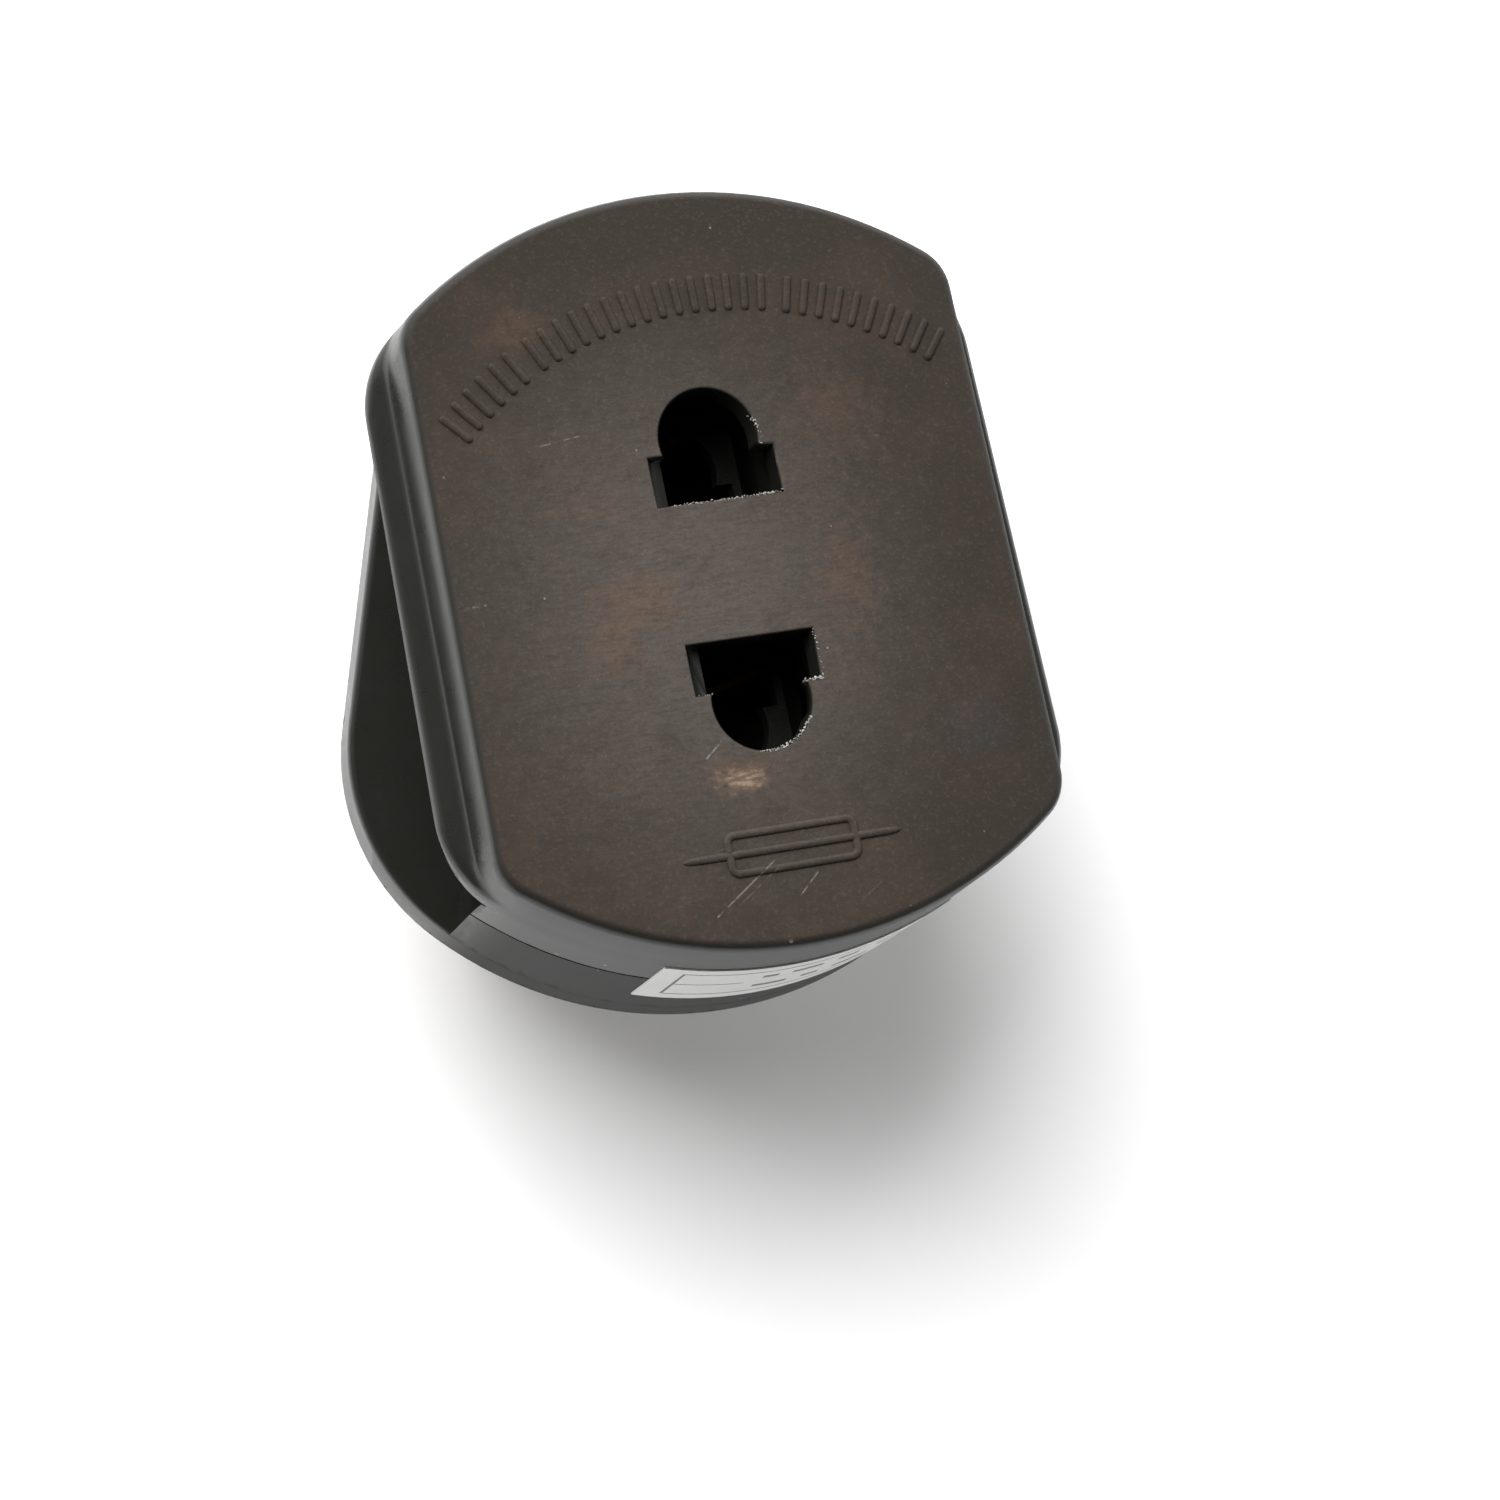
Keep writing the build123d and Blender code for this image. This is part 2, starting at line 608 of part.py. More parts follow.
def contact_retainer():
    """Inner plate under the wells that keeps both contacts down, held between the bosses."""
    x = RETAINER_HALF_WIDTH
    low_y = LOWER_SCREW_Y + BOSS_RADIUS + RETAINER_GAP
    high_y = UPPER_SCREW_Y - BOSS_RADIUS - RETAINER_GAP
    plate = block(-x, x, low_y, high_y, CONTACT_TOP_Z, WELL_END_Z)
    for side in (1, -1):
        plate -= prism(keyhole(side, -RETAINER_OPENING_LESS), CONTACT_TOP_Z, WELL_END_Z)
    return plate


def assembly_screws():
    """Pan-head screws that draw the base to the cover."""
    screws = []
    for x, y in SCREW_PLACES:
        seat = SCREW_SINK + SCREW_HEAD_HEIGHT
        head = rod(SCREW_HEAD_RADIUS, x, y, SCREW_SINK, seat)
        screws.append(head + rod(SCREW_RADIUS, x, y, seat, SCREW_SINK + SCREW_LENGTH))
    return Compound(children=[s.solid() for s in screws])


def rating_label():
    """Paper label wrapped on the lower wall, across the parting line."""
    skin = body_block(LABEL_LOW_Z, SEAM_Z, LABEL_THICKNESS) + body_block(SEAM_Z, LABEL_HIGH_Z, LABEL_THICKNESS)
    skin &= block(LABEL_LEFT, LABEL_RIGHT, -2 * FACE_BOTTOM, 0, LABEL_LOW_Z, LABEL_HIGH_Z)
    return skin - body_block(BODY_LOW_Z, SEAM_Z) - body_block(SEAM_Z, LIP_UNDER_Z)


PIECES = {
    "front_cover": front_cover(),
    "rear_base": rear_base(),
    "earth_pin": earth_pin(),
    "line_pin": live_pin(LIVE_X),
    "neutral_pin": live_pin(-LIVE_X),
    "line_pin_sleeve": pin_sleeve(LIVE_X),
    "neutral_pin_sleeve": pin_sleeve(-LIVE_X),
    "fuse_carrier": fuse_carrier(),
    "fuse_tube": fuse_tube(),
    "fuse_cap_line": fuse_cap(1),
    "fuse_cap_load": fuse_cap(-1),
    "fuse_wire": fuse_wire(),
    "line_fuse_clip": line_fuse_clip(),
    "load_fuse_clip": load_fuse_clip(),
    "line_contact": line_contact(),
    "neutral_contact": neutral_contact(),
    "contact_retainer": contact_retainer(),
    "strap_rivets": strap_rivets(),
    "assembly_screws": assembly_screws(),
    "rating_label": rating_label(),
}

for name, piece in PIECES.items():
    export_step(piece, f"parts/{name}.step")
    print(name, len(piece.solids()), round(piece.volume, 2))
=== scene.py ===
# %% [markdown]
# # A shaver plug adapter, finished for one photograph
#
# The solids come from a CAD model and keep its frame: one unit is a metre, the
# pin face lies at height zero, the sockets look up and the earth pin sits towards
# +Y. This lesson adds what a drawing of solids lacks: the grain and wear of the
# moulded plastic, the print on the label, small moulded marks, light and a camera.

import json
from math import pi, radians

import bmesh
import bpy
from mathutils import Matrix, Vector

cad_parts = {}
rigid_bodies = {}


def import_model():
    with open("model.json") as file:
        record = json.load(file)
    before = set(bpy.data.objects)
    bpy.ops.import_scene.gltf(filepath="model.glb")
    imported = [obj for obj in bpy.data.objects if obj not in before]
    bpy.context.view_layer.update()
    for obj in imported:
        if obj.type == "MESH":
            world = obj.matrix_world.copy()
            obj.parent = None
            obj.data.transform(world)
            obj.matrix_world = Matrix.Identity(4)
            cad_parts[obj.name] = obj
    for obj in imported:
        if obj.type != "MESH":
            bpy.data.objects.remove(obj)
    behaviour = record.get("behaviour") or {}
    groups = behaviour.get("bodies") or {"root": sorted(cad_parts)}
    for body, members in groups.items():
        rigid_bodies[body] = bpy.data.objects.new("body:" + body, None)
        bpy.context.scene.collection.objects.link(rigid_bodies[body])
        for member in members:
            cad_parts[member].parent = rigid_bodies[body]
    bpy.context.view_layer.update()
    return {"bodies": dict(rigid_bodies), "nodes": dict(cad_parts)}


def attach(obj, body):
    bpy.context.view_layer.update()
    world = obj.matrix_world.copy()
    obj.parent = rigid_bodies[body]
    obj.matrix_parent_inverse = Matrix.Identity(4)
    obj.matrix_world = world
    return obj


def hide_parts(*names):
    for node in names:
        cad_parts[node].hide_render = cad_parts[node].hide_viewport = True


MM = 0.001
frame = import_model()
nodes = frame["nodes"]
BODY = list(frame["bodies"])[0]
print("pieces in the frame:", len(nodes), "on body", BODY)

# %% [markdown]
# The camera stands above the sockets and leans towards the lower left corner of
# the adapter. A long lens keeps the face nearly free of perspective, which is how
# a small product is usually photographed. Its place and its two axes are written
# in the frame of the adapter, so nothing else in the script depends on them.

# %% The camera
CAMERA_PLACE = Vector((-88.09, -55.66, 285.71)) * MM
CAMERA_RIGHT = Vector((0.94076, -0.19856, 0.27486))
CAMERA_UP = Vector((0.14384, 0.96776, 0.20678))
FOCAL_LENGTH = 105.39
SENSOR_WIDTH = 36.0

camera_data = bpy.data.cameras.new("camera")
camera_data.lens = FOCAL_LENGTH
camera_data.sensor_width = SENSOR_WIDTH
camera_data.clip_start = 0.01
camera = bpy.data.objects.new("camera", camera_data)
bpy.context.scene.collection.objects.link(camera)
camera_back = CAMERA_RIGHT.cross(CAMERA_UP).normalized()
camera_up = camera_back.cross(CAMERA_RIGHT).normalized()
axes = Matrix((CAMERA_RIGHT.normalized(), camera_up, camera_back)).transposed()
camera.matrix_world = Matrix.Translation(CAMERA_PLACE) @ axes.to_4x4()
bpy.context.scene.camera = camera
print("camera looks along", [round(v, 2) for v in -camera_back])

# %% [markdown]
# Worlds, materials and geometry trees are networks of small boxes, and most of
# them do arithmetic. A few short helpers keep the networks readable: `add` places
# a box, `calc` does one sum, `ramp` changes smoothly from one value to another
# and `blend` mixes two colours.


# %% Helpers for node networks
def add(tree, kind, inputs=None, **settings):
    """One node; inputs are values or sockets, settings are its own properties."""
    node = tree.nodes.new(kind)
    for key, value in settings.items():
        setattr(node, key, value)
    for key, value in (inputs or {}).items():
        if isinstance(value, bpy.types.NodeSocket):
            tree.links.new(value, node.inputs[key])
        else:
            node.inputs[key].default_value = value
    return node


def calc(tree, operation, first, second=0.0, clamp=False):
    """The result of one sum, as a socket."""
    node = add(tree, "ShaderNodeMath", {0: first, 1: second}, operation=operation, use_clamp=clamp)
    return node.outputs[0]


def times(tree, first, second):
    """The product of two values."""
    return calc(tree, "MULTIPLY", first, second)


def minus(tree, first, second):
    """The difference of two values."""
    return calc(tree, "SUBTRACT", first, second)


def ramp(tree, value, low, high, start=0.0, end=1.0):
    """A smooth change from start to end while value goes from low to high."""
    settings = {"Value": value, "From Min": low, "From Max": high, "To Min": start, "To Max": end}
    node = add(tree, "ShaderNodeMapRange", settings, interpolation_type="SMOOTHSTEP")
    return node.outputs[0]


def blend(tree, factor, first, second):
    """Two colours mixed by a factor."""
    node = add(tree, "ShaderNodeMix", {"Factor": factor}, data_type="RGBA")
    for key, value in ((6, first), (7, second)):
        if isinstance(value, bpy.types.NodeSocket):
            tree.links.new(value, node.inputs[key])
        else:
            node.inputs[key].default_value = (*value, 1)
    return node.outputs[2]


print("node helpers ready")

# %% [markdown]
# The adapter was laid on white paper under one soft lamp. Black plastic shows
# little of its own colour: its level faces mirror the dark ceiling, and its steep
# sides mirror the bright paper and walls. So the world is a room that is white
# near the horizon, dark overhead and dim on the side where someone would stand. A
# softbox from the upper left gives the shadow its direction, and a weaker one from
# the right lifts it. The plain transfer curve lets the paper run to clean white.

# %% Floor, world and lamps
FLOOR_Z = -22.78 * MM
FLOOR_SIZE = 6.0
KEY_PLACE = (-0.37, 0.46, 0.85)
KEY_SIZE = 0.75
KEY_POWER = 20.5
FILL_PLACE = (0.80, 0.25, 0.50)
FILL_SIZE = 0.6
FILL_POWER = 3.0
WALL_BRIGHTNESS = 0.55
CEILING_BRIGHTNESS = 0.05
WALL_TOP, CEILING_EDGE = 0.25, 0.85
FRONT_SHARE = 0.12
FRONT_MIDDLE, FRONT_EDGE = -0.9, 0.2
WINDOW_BRIGHTNESS = 0.9
WINDOW_EDGE, WINDOW_MIDDLE = 0.35, 0.85

bpy.context.scene.view_settings.view_transform = "Standard"
floor_mesh = bpy.data.meshes.new("floor")
half = FLOOR_SIZE / 2
floor_mesh.from_pydata(
    [(-half, -half, FLOOR_Z), (half, -half, FLOOR_Z), (half, half, FLOOR_Z), (-half, half, FLOOR_Z)],
    [],
    [(0, 1, 2, 3)],
)
floor = bpy.data.objects.new("floor", floor_mesh)
bpy.context.scene.collection.objects.link(floor)


def softbox(name, place, size, power):
    """A square area lamp that looks at the adapter."""
    data = bpy.data.lights.new(name, "AREA")
    data.size = size
    data.energy = power
    lamp = bpy.data.objects.new(name, data)
    lamp.location = Vector(place)
    lamp.rotation_euler = (-Vector(place)).to_track_quat("-Z", "Y").to_euler()
    lamp.visible_glossy = False
    bpy.context.scene.collection.objects.link(lamp)
    return lamp


softbox("key_softbox", KEY_PLACE, KEY_SIZE, KEY_POWER)
softbox("fill_softbox", FILL_PLACE, FILL_SIZE, FILL_POWER)

world = bpy.data.worlds.new("white_room")
world.use_nodes = True
room = world.node_tree
direction = add(room, "ShaderNodeTexCoord").outputs["Generated"]
_, depth, upward = add(room, "ShaderNodeSeparateXYZ", {0: direction}).outputs
walls = ramp(room, upward, WALL_TOP, CEILING_EDGE, WALL_BRIGHTNESS, CEILING_BRIGHTNESS)
front_range = {"Value": depth, "From Min": FRONT_MIDDLE, "From Max": FRONT_EDGE, "To Min": FRONT_SHARE}
front = add(room, "ShaderNodeMapRange", front_range).outputs[0]
window = ramp(room, depth, WINDOW_EDGE, WINDOW_MIDDLE, 0.0, WINDOW_BRIGHTNESS)
background = room.nodes["Background"].inputs
room.links.new(calc(room, "ADD", times(room, walls, front), window), background["Strength"])
background["Color"].default_value = (1, 1, 1, 1)
bpy.context.scene.world = world
print("key light", KEY_POWER, "W, walls", WALL_BRIGHTNESS)

# %% [markdown]
# A shader group is a network with named inputs and outputs that several materials
# can share. The groups read the place on the object in millimetres, so that every
# size below can be compared with a ruler.


# %% Helpers for shader groups
def place_mm(tree):
    """Object coordinates in millimetres: the vector and its three parts."""
    coordinates = add(tree, "ShaderNodeTexCoord").outputs["Object"]
    scaled = add(tree, "ShaderNodeVectorMath", {0: coordinates, "Scale": 1 / MM}, operation="SCALE")
    parts = add(tree, "ShaderNodeSeparateXYZ", {0: scaled.outputs[0]})
    return scaled.outputs[0], parts.outputs[0], parts.outputs[1], parts.outputs[2]


def noise(tree, where, scale, detail, roughness=0.5):
    """Cloudy noise between 0 and 1; scale is in clouds per millimetre."""
    settings = {"Vector": where, "Scale": scale, "Detail": detail, "Roughness": roughness}
    return add(tree, "ShaderNodeTexNoise", settings).outputs[0]


def distance(tree, across, along):
    """The length of the long side of a right triangle."""
    squares = calc(tree, "ADD", times(tree, across, across), times(tree, along, along))
    return calc(tree, "SQRT", squares)


def new_group(name, inputs, outputs):
    """An empty shader group with named number inputs and outputs."""
    tree = bpy.data.node_groups.new(name, "ShaderNodeTree")
    for label, value in inputs.items():
        socket = tree.interface.new_socket(label, in_out="INPUT", socket_type="NodeSocketFloat")
        socket.default_value = value
    for label in outputs:
        tree.interface.new_socket(label, in_out="OUTPUT", socket_type="NodeSocketFloat")
    return tree, tree.nodes.new("NodeGroupInput").outputs, tree.nodes.new("NodeGroupOutput").inputs


def use_group(tree, group, **inputs):
    """A copy of a group in a material, with some of its inputs set."""
    node = add(tree, "ShaderNodeGroup", node_tree=group)
    for label, value in inputs.items():
        node.inputs[label.replace("_", " ")].default_value = value
    return node.outputs


print("group helpers ready")

# %% [markdown]
# Spark-eroded moulds leave a fine, pebbled grain. On the real housing the grains
# are about a tenth of a millimetre across. The group below adds a coarse and a
# fine noise: its height goes to the bump and its tone shades the colour slightly.

# %% Group: moulded grain
FINE_SHARE = 0.55

grain, grain_in, grain_out = new_group(
    "moulded_grain", {"Grains per mm": 5.0, "Waves per mm": 0.5}, ["Height", "Tone"]
)
where, _, _, _ = place_mm(grain)
fine = noise(grain, where, grain_in[0], 3.0, 0.6)
wave = noise(grain, where, grain_in[1], 2.0)
height = calc(grain, "ADD", times(grain, fine, FINE_SHARE), times(grain, wave, 1 - FINE_SHARE))
grain.links.new(height, grain_out["Height"])
grain.links.new(fine, grain_out["Tone"])
print("grain group nodes:", len(grain.nodes))

# %% [markdown]
# Stains, rubbed places and dull spots are all soft patches with a ragged border.
# One group draws them: it measures how far a place on the face is from the middle
# of an ellipse, shakes that distance with noise and fades it out.

# %% Group: soft patch on the face
PATCH_INPUTS = {
    "Middle X": 0.0,
    "Middle Y": 0.0,
    "Reach X": 2.0,
    "Reach Y": 2.0,
    "Ragged": 0.5,
    "Softness": 0.6,
}

patch, patch_in, patch_out = new_group("soft_patch", PATCH_INPUTS, ["Mask"])
where, x, y, _ = place_mm(patch)
across = calc(patch, "DIVIDE", minus(patch, x, patch_in["Middle X"]), patch_in["Reach X"])
along = calc(patch, "DIVIDE", minus(patch, y, patch_in["Middle Y"]), patch_in["Reach Y"])
shake = minus(patch, noise(patch, where, 0.9, 5.0, 0.65), 0.5)
shift = times(patch, shake, times(patch, patch_in["Ragged"], 3.0))
away = calc(patch, "ADD", distance(patch, across, along), shift)
mask = ramp(patch, away, minus(patch, 1.0, patch_in["Softness"]), 1.0, 1.0, 0.0)
patch.links.new(mask, patch_out["Mask"])
print("patch group nodes:", len(patch.nodes))

# %% [markdown]
# A scratch is a thin line between two points. The group works out how far a place
# lies from that stretch, keeps only what is closer than the scratch is wide, and
# lets noise break the line, because a real scratch skips over the grain.

# %% Group: fine scratch
SCRATCH_INPUTS = {"Start X": 0.0, "Start Y": 0.0, "End X": 1.0, "End Y": 1.0, "Width": 0.06}

scratch, scratch_in, scratch_out = new_group("fine_scratch", SCRATCH_INPUTS, ["Mask"])
where, x, y, _ = place_mm(scratch)
run_x = minus(scratch, scratch_in["End X"], scratch_in["Start X"])
run_y = minus(scratch, scratch_in["End Y"], scratch_in["Start Y"])
from_x = minus(scratch, x, scratch_in["Start X"])
from_y = minus(scratch, y, scratch_in["Start Y"])
square = calc(scratch, "ADD", times(scratch, run_x, run_x), times(scratch, run_y, run_y))
along = calc(scratch, "ADD", times(scratch, from_x, run_x), times(scratch, from_y, run_y))
share = calc(scratch, "DIVIDE", along, square, clamp=True)
off_x = minus(scratch, from_x, times(scratch, run_x, share))
off_y = minus(scratch, from_y, times(scratch, run_y, share))
width_share = calc(scratch, "DIVIDE", distance(scratch, off_x, off_y), scratch_in["Width"])
line = calc(scratch, "SUBTRACT", 1.0, width_share, clamp=True)
skips = ramp(scratch, noise(scratch, where, 2.5, 3.0), 0.35, 0.6)
scratch.links.new(times(scratch, line, skips), scratch_out["Mask"])
print("scratch group nodes:", len(scratch.nodes))

# %% [markdown]
# Dust lies on everything that is left on a table. A Voronoi pattern throws one
# point into each cell. Only the cells with a low random value keep theirs, so the
# specks come out sparse and uneven, and most are smaller than a hair's width.

# %% Group: dust specks
DUST_INPUTS = {"Cells per mm": 1.4, "Kept": 0.35, "Size": 0.09}
SMALLEST, LARGEST = 0.45, 1.5

dust, dust_in, dust_out = new_group("dust_specks", DUST_INPUTS, ["Mask"])
where, _, _, _ = place_mm(dust)
cell_inputs = {"Vector": where, "Scale": dust_in["Cells per mm"]}
cells = add(dust, "ShaderNodeTexVoronoi", cell_inputs, feature="F1")
luck = add(dust, "ShaderNodeSeparateXYZ", {0: cells.outputs["Color"]})
kept = calc(dust, "LESS_THAN", luck.outputs[0], dust_in["Kept"])
size = times(dust, dust_in["Size"], ramp(dust, luck.outputs[1], 0.0, 1.0, SMALLEST, LARGEST))
speck = calc(dust, "LESS_THAN", cells.outputs["Distance"], size)
dust.links.new(times(dust, kept, speck), dust_out["Mask"])
print("dust group nodes:", len(dust.nodes))


# %% [markdown]
# Every finish starts from the same short recipe. Numbers that are the same all
# over the surface are set straight on the shader, and only what varies, such as
# colour, roughness and relief, is linked to a network.


# %% A material to start from
def new_material(name, roughness=0.5, metallic=0.0, specular=0.5):
    """A material with its shader and its node tree."""
    material = bpy.data.materials.new(name)
    material.use_nodes = True
    shader = material.node_tree.nodes["Principled BSDF"]
    shader.inputs["Roughness"].default_value = roughness
    shader.inputs["Metallic"].default_value = metallic
    shader.inputs["Specular IOR Level"].default_value = specular
    return material, material.node_tree, shader


def relief(tree, shader, height, depth_mm):
    """Bump from a height that runs from 0 to 1, over a depth in millimetres."""
    bump = add(tree, "ShaderNodeBump", {"Height": height, "Strength": 1.0, "Distance": depth_mm * MM})
    tree.links.new(bump.outputs[0], shader.inputs["Normal"])


paper, tree, shader = new_material("floor_paper", roughness=0.8)
shader.inputs["Base Color"].default_value = (0.9, 0.9, 0.9, 1)
floor.data.materials.append(paper)
print("floor sheet ready")

# %% [markdown]
# The housing is black plastic, but only its sides look black. The face has been
# handled and dusted for years and carries rusty and dull patches. Its middle is a
# warm, paler brown, a painted sheen of the soft lamp, and the colour falls back to
# near black at the rim. Each row of rusty places gives the middle and the reach of a
# patch across and along the face, in millimetres, and then how strong it is.

# %% Housing plastic
BLACK = (0.0130, 0.0130, 0.0112)
FACE_DARK = (0.0270, 0.0216, 0.0172)
# The paler brown below is a painted sheen in the middle of the face.
FACE_SHEEN = (0.0655, 0.0560, 0.0490)
RUST = (0.115, 0.062, 0.036)
TAN = (0.22, 0.155, 0.11)
GREY_DUST = (0.34, 0.32, 0.29)
SLATE = (0.030, 0.030, 0.032)
# The ellipse of the painted sheen, which fades out towards the rim.
SHEEN_PATCH = {"Middle_X": -3.5, "Middle_Y": -2.5, "Reach_X": 21.5, "Reach_Y": 27.0}
SLATE_PATCH = {"Middle_X": 14.0, "Middle_Y": -12.5, "Reach_X": 3.5, "Reach_Y": 3.0}
SCUFF_PATCH = {"Middle_X": -2.4, "Middle_Y": -13.8, "Reach_X": 2.6, "Reach_Y": 1.0}
RUSTY_PLACES = [
    (-6.8, -1.3, 4.6, 2.6, 0.30),
    (-8.8, -4.6, 3.4, 2.4, 0.20),
    (9.0, 9.4, 4.8, 4.6, 0.18),
    (-11.4, 17.4, 3.2, 2.0, 0.20),
    (-8.9, 5.1, 3.8, 1.5, 0.16),
    (7.4, -1.5, 3.0, 5.4, 0.20),
    (-2.6, -13.4, 3.6, 1.8, 0.36),
]
FACE_Z = 21.0

housing, tree, shader = new_material("housing_plastic", roughness=0.5, specular=0.5)
where, x, y, z = place_mm(tree)
on_face = ramp(tree, z, FACE_Z - 0.22, FACE_Z - 0.02)
# The paler middle is the painted sheen of the soft lamp.
middle = use_group(tree, patch, **SHEEN_PATCH, Ragged=0.12, Softness=0.95)
colour = blend(tree, middle["Mask"], FACE_DARK, FACE_SHEEN)
for px, py, reach_x, reach_y, strength in RUSTY_PLACES:
    place = {"Middle_X": px, "Middle_Y": py, "Reach_X": reach_x, "Reach_Y": reach_y}
    spot = use_group(tree, patch, **place, Ragged=0.6, Softness=0.9)
    colour = blend(tree, times(tree, spot["Mask"], strength), colour, RUST)
slate_spot = use_group(tree, patch, **SLATE_PATCH, Ragged=0.6, Softness=0.9)
colour = blend(tree, times(tree, slate_spot["Mask"], 0.5), colour, SLATE)
print("face tones:", 3 + len(RUSTY_PLACES))

# %% [markdown]
# Broad clouds of noise keep the painted sheen from looking airbrushed, fine streaks
# run across the face as wiping leaves them, and the grain lightens the tops of
# the pebbles and darkens the pits. A pale scuff lies under the lower socket.

# %% Housing plastic: clouds, streaks and grain
CLOUD_SHARE = 0.13
SHADE_SHARE = 0.35
STREAK_SHARE = 0.42
STREAK_STRETCH = (0.7, 3.2, 1.0)
STREAK_TURN = radians(4)
PEBBLE_TOP_SHARE = 0.06
PEBBLE_PIT_SHARE = 0.35

clouds = noise(tree, where, 0.16, 6.0, 0.6)
colour = blend(tree, ramp(tree, clouds, 0.42, 0.75, 0.0, CLOUD_SHARE), colour, RUST)
shades = noise(tree, where, 0.35, 5.0, 0.65)
colour = blend(tree, ramp(tree, shades, 0.50, 0.80, 0.0, SHADE_SHARE), colour, FACE_DARK)
wiping = {"Vector": where, "Rotation": (0, 0, STREAK_TURN), "Scale": STREAK_STRETCH}
streaks = noise(tree, add(tree, "ShaderNodeMapping", wiping).outputs[0], 1.3, 5.0, 0.7)
colour = blend(tree, ramp(tree, streaks, 0.40, 0.70, 0.0, STREAK_SHARE), colour, FACE_DARK)
pebbles = use_group(tree, grain, Grains_per_mm=4.5, Waves_per_mm=0.7)
pebble_tops = ramp(tree, pebbles["Tone"], 0.5, 0.8, 0.0, PEBBLE_TOP_SHARE)
pebble_pits = ramp(tree, pebbles["Tone"], 0.25, 0.45, PEBBLE_PIT_SHARE, 0.0)
colour = blend(tree, pebble_tops, colour, GREY_DUST)
colour = blend(tree, pebble_pits, colour, FACE_DARK)
scuff = use_group(tree, patch, **SCUFF_PATCH, Ragged=0.7, Softness=0.9)
torn = times(tree, scuff["Mask"], ramp(tree, streaks, 0.42, 0.56, 0.15, 0.9))
colour = blend(tree, torn, colour, TAN)
print("face network:", len(tree.nodes), "nodes")

# %% [markdown]
# Scratches and dust come last, because they lie on top of everything else. Each
# row of scratches gives both ends and the width in millimetres, and then how
# clear the scratch is.

# %% Housing plastic: scratches and dust
SCRATCHES = [
    (-1.37, -19.26, -5.86, -22.29, 0.070, 0.42),
    (-1.15, -19.7, -4.3, -21.8, 0.045, 0.22),
    (1.31, -20.47, -0.13, -21.76, 0.065, 0.38),
    (5.9, -21.4, 3.6, -22.9, 0.050, 0.15),
    (-11.6, 9.6, -8.6, 10.0, 0.050, 0.35),
    (-3.25, -11.1, -4.5, -12.1, 0.070, 0.50),
    (-16.9, -0.2, -18.4, -0.25, 0.120, 0.35),
]

for x0, y0, x1, y1, width, strength in SCRATCHES:
    ends = {"Start_X": x0, "Start_Y": y0, "End_X": x1, "End_Y": y1}
    mark = use_group(tree, scratch, **ends, Width=width)
    colour = blend(tree, times(tree, mark["Mask"], strength), colour, GREY_DUST)
specks = use_group(tree, dust, Cells_per_mm=1.0, Kept=0.07, Size=0.055)
colour = blend(tree, times(tree, specks["Mask"], 0.36), colour, GREY_DUST)
print("scratches:", len(SCRATCHES))

# %% [markdown]
# The sides stay neutral and glossier than the face. The lower wall, where fingers
# hold the adapter, is duller than the lips, most of all under the parting line.
# The parting line and the nicks along the lower edge are black gaps: a metallic
# value with a black colour swallows every reflection, as a deep gap does.

# %% Housing plastic: sides, gaps and gloss
GAP_BLACK = (0.0005, 0.0005, 0.0005)
SEAM_LOW, SEAM_HIGH, SEAM_FADE, SEAM_WAVE = 10.80, 11.20, 0.08, 0.18
NICK_LOW, NICK_HIGH = 0.02, 0.42
HELD_Y, FREE_Y = -20.5, -16.5
HELD_ROUGH_LOW, HELD_ROUGH_HIGH = 0.72, 0.46
LIP_ROUGH = (0.26, 0.34)
FACE_ROUGH = (0.62, 0.50)
GRAIN_DEPTH = 0.042
SIDE_GRAIN_SHARE = 0.15


def choose(tree, factor, first, second):
    """Two numbers mixed by a factor."""
    node = add(tree, "ShaderNodeMix", {"Factor": factor, 2: first, 3: second}, data_type="FLOAT")
    return node.outputs[0]


sides = blend(tree, ramp(tree, shades, 0.5, 0.8, 0.0, 0.15), BLACK, SLATE)
side_specks = use_group(tree, dust, Cells_per_mm=0.7, Kept=0.10, Size=0.07)
sides = blend(tree, times(tree, side_specks["Mask"], 0.6), sides, GREY_DUST)
ragged = noise(tree, where, 1.1, 4.0)
seam_z = calc(tree, "ADD", z, times(tree, minus(tree, ragged, 0.5), SEAM_WAVE))
seam_from = ramp(tree, seam_z, SEAM_LOW, SEAM_LOW + SEAM_FADE)
seam_to = ramp(tree, seam_z, SEAM_HIGH - SEAM_FADE, SEAM_HIGH, 1.0, 0.0)
edge_from = ramp(tree, z, NICK_LOW, NICK_LOW + 0.04)
edge_to = ramp(tree, z, NICK_HIGH - 0.12, NICK_HIGH, 1.0, 0.0)
nicks = times(tree, times(tree, edge_from, edge_to), ramp(tree, ragged, 0.60, 0.63))
gaps = calc(tree, "MAXIMUM", times(tree, seam_from, seam_to), nicks)
sides = blend(tree, gaps, sides, GAP_BLACK)
tree.links.new(gaps, shader.inputs["Metallic"])
tree.links.new(blend(tree, on_face, sides, colour), shader.inputs["Base Color"])

held = ramp(tree, y, HELD_Y, FREE_Y, 1.0, 0.0)
held_rough = ramp(tree, z, SEAM_LOW - 0.1, SEAM_HIGH, HELD_ROUGH_LOW, HELD_ROUGH_HIGH)
side_rough = choose(tree, held, ramp(tree, shades, 0.3, 0.7, *LIP_ROUGH), held_rough)
side_rough = calc(tree, "MAXIMUM", side_rough, gaps)
face_rough = ramp(tree, shades, 0.3, 0.7, *FACE_ROUGH)
tree.links.new(choose(tree, on_face, side_rough, face_rough), shader.inputs["Roughness"])
grain_share = ramp(tree, on_face, 0.0, 1.0, SIDE_GRAIN_SHARE, 1.0)
relief(tree, shader, times(tree, pebbles["Height"], grain_share), GRAIN_DEPTH)
print("housing network:", len(tree.nodes), "nodes")

